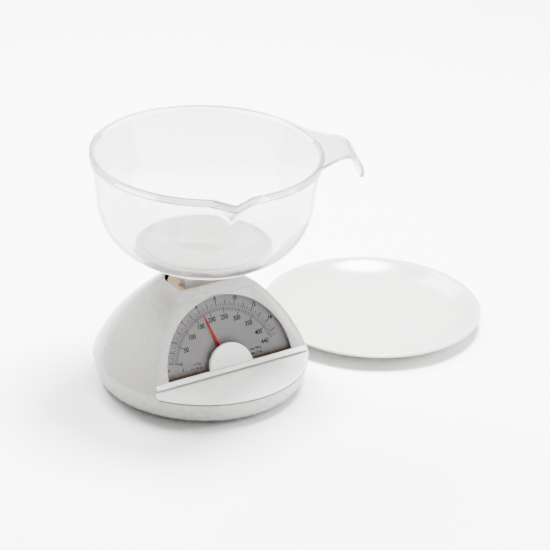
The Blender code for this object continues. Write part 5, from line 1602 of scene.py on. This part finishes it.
@dataclass
class Dish:
    """The shallow round dish: flat floor, curved wall and a rolled rim."""

    radius: float = 0.0782
    height: float = 0.0120
    foot_radius: float = 0.0540
    foot_width: float = 0.0025
    under: float = 0.0008
    floor: float = 0.0033
    wall_round: float = 0.004
    edge_round: float = 0.0004

    def build(self) -> None:
        """Turns the profile; its wall is a smooth curve through a few driving points."""
        rim, top, foot = self.radius, self.height, self.foot_radius
        inside = [[0, self.floor], [foot - 0.008, self.floor], [foot + 0.004, 0.0038], [foot + 0.012, 0.0068]]
        edge = [[rim - 0.0055, top - 0.0012], [rim - 0.0022, top], [rim, top - 0.0006]]
        edge += [[rim - 0.0003, top - 0.0022], [rim - 0.0040, top - 0.0031]]
        outside = [[foot + 0.0100, 0.0040], [foot + 0.0016, 0.0014], [foot, 0.0]]
        ring = foot - self.foot_width
        below = [[ring, 0.0], [ring - self.under, self.under], [0, self.under]]
        profile = np.array(inside + edge + outside + below)
        smooth = rounded(rounded(profile, self.wall_round, 6), self.edge_round, 2)
        dish = revolve("side_dish", smooth, Matrix.Translation(PLACES.dish), 256)
        dress(dish, DISH_WHITE, Body.DISH, "dish")


# ------------------------------------------------------------------------------- inner pieces
@dataclass
class BenchCopy:
    """Pieces that keep the frame's own shape: merged, softly shaded and given a finish."""

    known: tuple = (SHADE_DARKENED_WHITE, APRON_WHITE, CLEAR, DISH_WHITE, SILVER, RED, ACETAL, BRASS, ZINC, STEEL, RUBBER)
    sharp: float = 38.0

    def build(self, body: str, node: str, slot: str) -> None:
        """Copies a node's triangles with coinciding corners made one.

        Args:
            body: the body that it rides on.
            node: the node's name.
            slot: the record's material slot.
        """
        mesh = frame["nodes"][node].data
        mesh.calc_loop_triangles()
        points = np.empty(len(mesh.vertices) * 3, np.float32)
        mesh.vertices.foreach_get("co", points)
        faces = np.empty(len(mesh.loop_triangles) * 3, np.int32)
        mesh.loop_triangles.foreach_get("vertices", faces)
        points, faces = points.reshape(-1, 3).astype(float), faces.reshape(-1, 3)
        copy = object_from(node + "_finished", points, faces, self.sharp)
        finishes = {finish.slot: finish for finish in self.known}
        dress(copy, finishes[slot], body, node)

    def build_rest(self) -> None:
        """Copies every node that no other piece stands for."""
        slots = {part["node"]: part["material_slot"] for part in frame["record"]["subparts"]}
        for body, nodes in frame["record"]["behaviour"]["bodies"].items():
            for node in nodes:
                if not frame["nodes"][node].hide_render:
                    self.build(body, node, slots[node])


# ------------------------------------------------------------------------------- studio
@dataclass
class Studio:
    """A pale floor, soft light from above and both sides, and the camera."""

    floor_half: float = 3.0
    lens: float = 196.4
    camera_offset: tuple = (-0.9962, -1.5182, 0.9796)
    camera_turn: tuple = (-34.8, 63.65, 2.40)
    sensor: float = 36.0
    floor_drop: float = 0.0001
    paper: tuple = ((0.96, 0.96, 0.96), (0.97, 0.97, 0.965))
    paper_scale: float = 40.0
    paper_gloss: float = 0.6
    surroundings: float = 0.5
    softboxes: tuple = (
        ("key_softbox", (0.30, 0.10, 1.25), (0.45, 0.45), 140.0),
        ("side_softbox", (0.9, -0.5, 0.6), (0.25, 0.7), 14.0),
        ("back_softbox", (-0.1, 0.9, 1.0), (0.8, 0.5), 55.0),
    )
    light_target: tuple = (0.05, 0, 0.05)

    def build(self) -> None:
        """Makes floor, world, lights and camera."""
        self.floor()
        self.world()
        for name, spot, size, power in self.softboxes:
            self.light(name, spot, size, power)
        self.camera()

    def floor(self) -> None:
        """A wide level sheet with a faint paper grain."""
        share = np.linspace(-1, 1, 9) * self.floor_half
        x, y = np.meshgrid(share, share, indexing="ij")
        grid = np.stack([x, y, np.full_like(x, -self.floor_drop)], axis=-1)
        floor = surface("floor", grid, Wrap.NONE)
        board = NodeBoard("studio_paper")
        board.link(board.tint(board.noise(self.paper_scale), *self.paper), board.shader, "Base Color")
        board.shader.inputs["Roughness"].default_value = self.paper_gloss
        floor.data.materials.append(board.material)

    def world(self) -> None:
        """Even white surroundings."""
        world = bpy.data.worlds.new("studio")
        world.use_nodes = True
        background = world.node_tree.nodes["Background"]
        background.inputs["Color"].default_value = (1.0, 1.0, 1.0, 1)
        background.inputs["Strength"].default_value = self.surroundings
        bpy.context.scene.world = world

    def light(self, name: str, spot: tuple, size: tuple, power: float) -> None:
        """An area light aimed at the middle of scale and dish.

        Args:
            name: the light's name.
            spot: where it stands, from its target.
            size: its width and height.
            power: its watts.
        """
        data = bpy.data.lights.new(name, "AREA")
        data.shape = "RECTANGLE"
        data.size, data.size_y = size
        data.energy = power
        obj = bpy.data.objects.new(name, data)
        target = PLACES.axis + Vector(self.light_target)
        obj.location = target + Vector(spot)
        obj.rotation_euler = (target - obj.location).to_track_quat("-Z", "Y").to_euler()
        bpy.context.scene.collection.objects.link(obj)

    def camera(self) -> None:
        """A long lens above the front left."""
        data = bpy.data.cameras.new("camera")
        data.lens = self.lens
        data.sensor_width = self.sensor
        obj = bpy.data.objects.new("camera", data)
        heading, pitch, roll = (math.radians(v) for v in self.camera_turn)
        aim = Matrix.Rotation(heading, 4, "Z") @ Matrix.Rotation(pitch, 4, "X")
        turn = aim @ Matrix.Rotation(roll, 4, "Z")
        obj.matrix_world = Matrix.Translation(PLACES.axis + Vector(self.camera_offset)) @ turn
        bpy.context.scene.collection.objects.link(obj)
        bpy.context.scene.camera = obj


def main() -> None:
    """Builds the studio and every sub-assembly."""
    logging.basicConfig(level=logging.INFO, format="%(name)s: %(message)s")
    Studio().build()
    HOUSING.build()
    DIAL.build()
    Apron().build()
    Bowl().build()
    Platform().build()
    Dish().build()
    BenchCopy().build_rest()


if __name__ == "__main__":
    main()
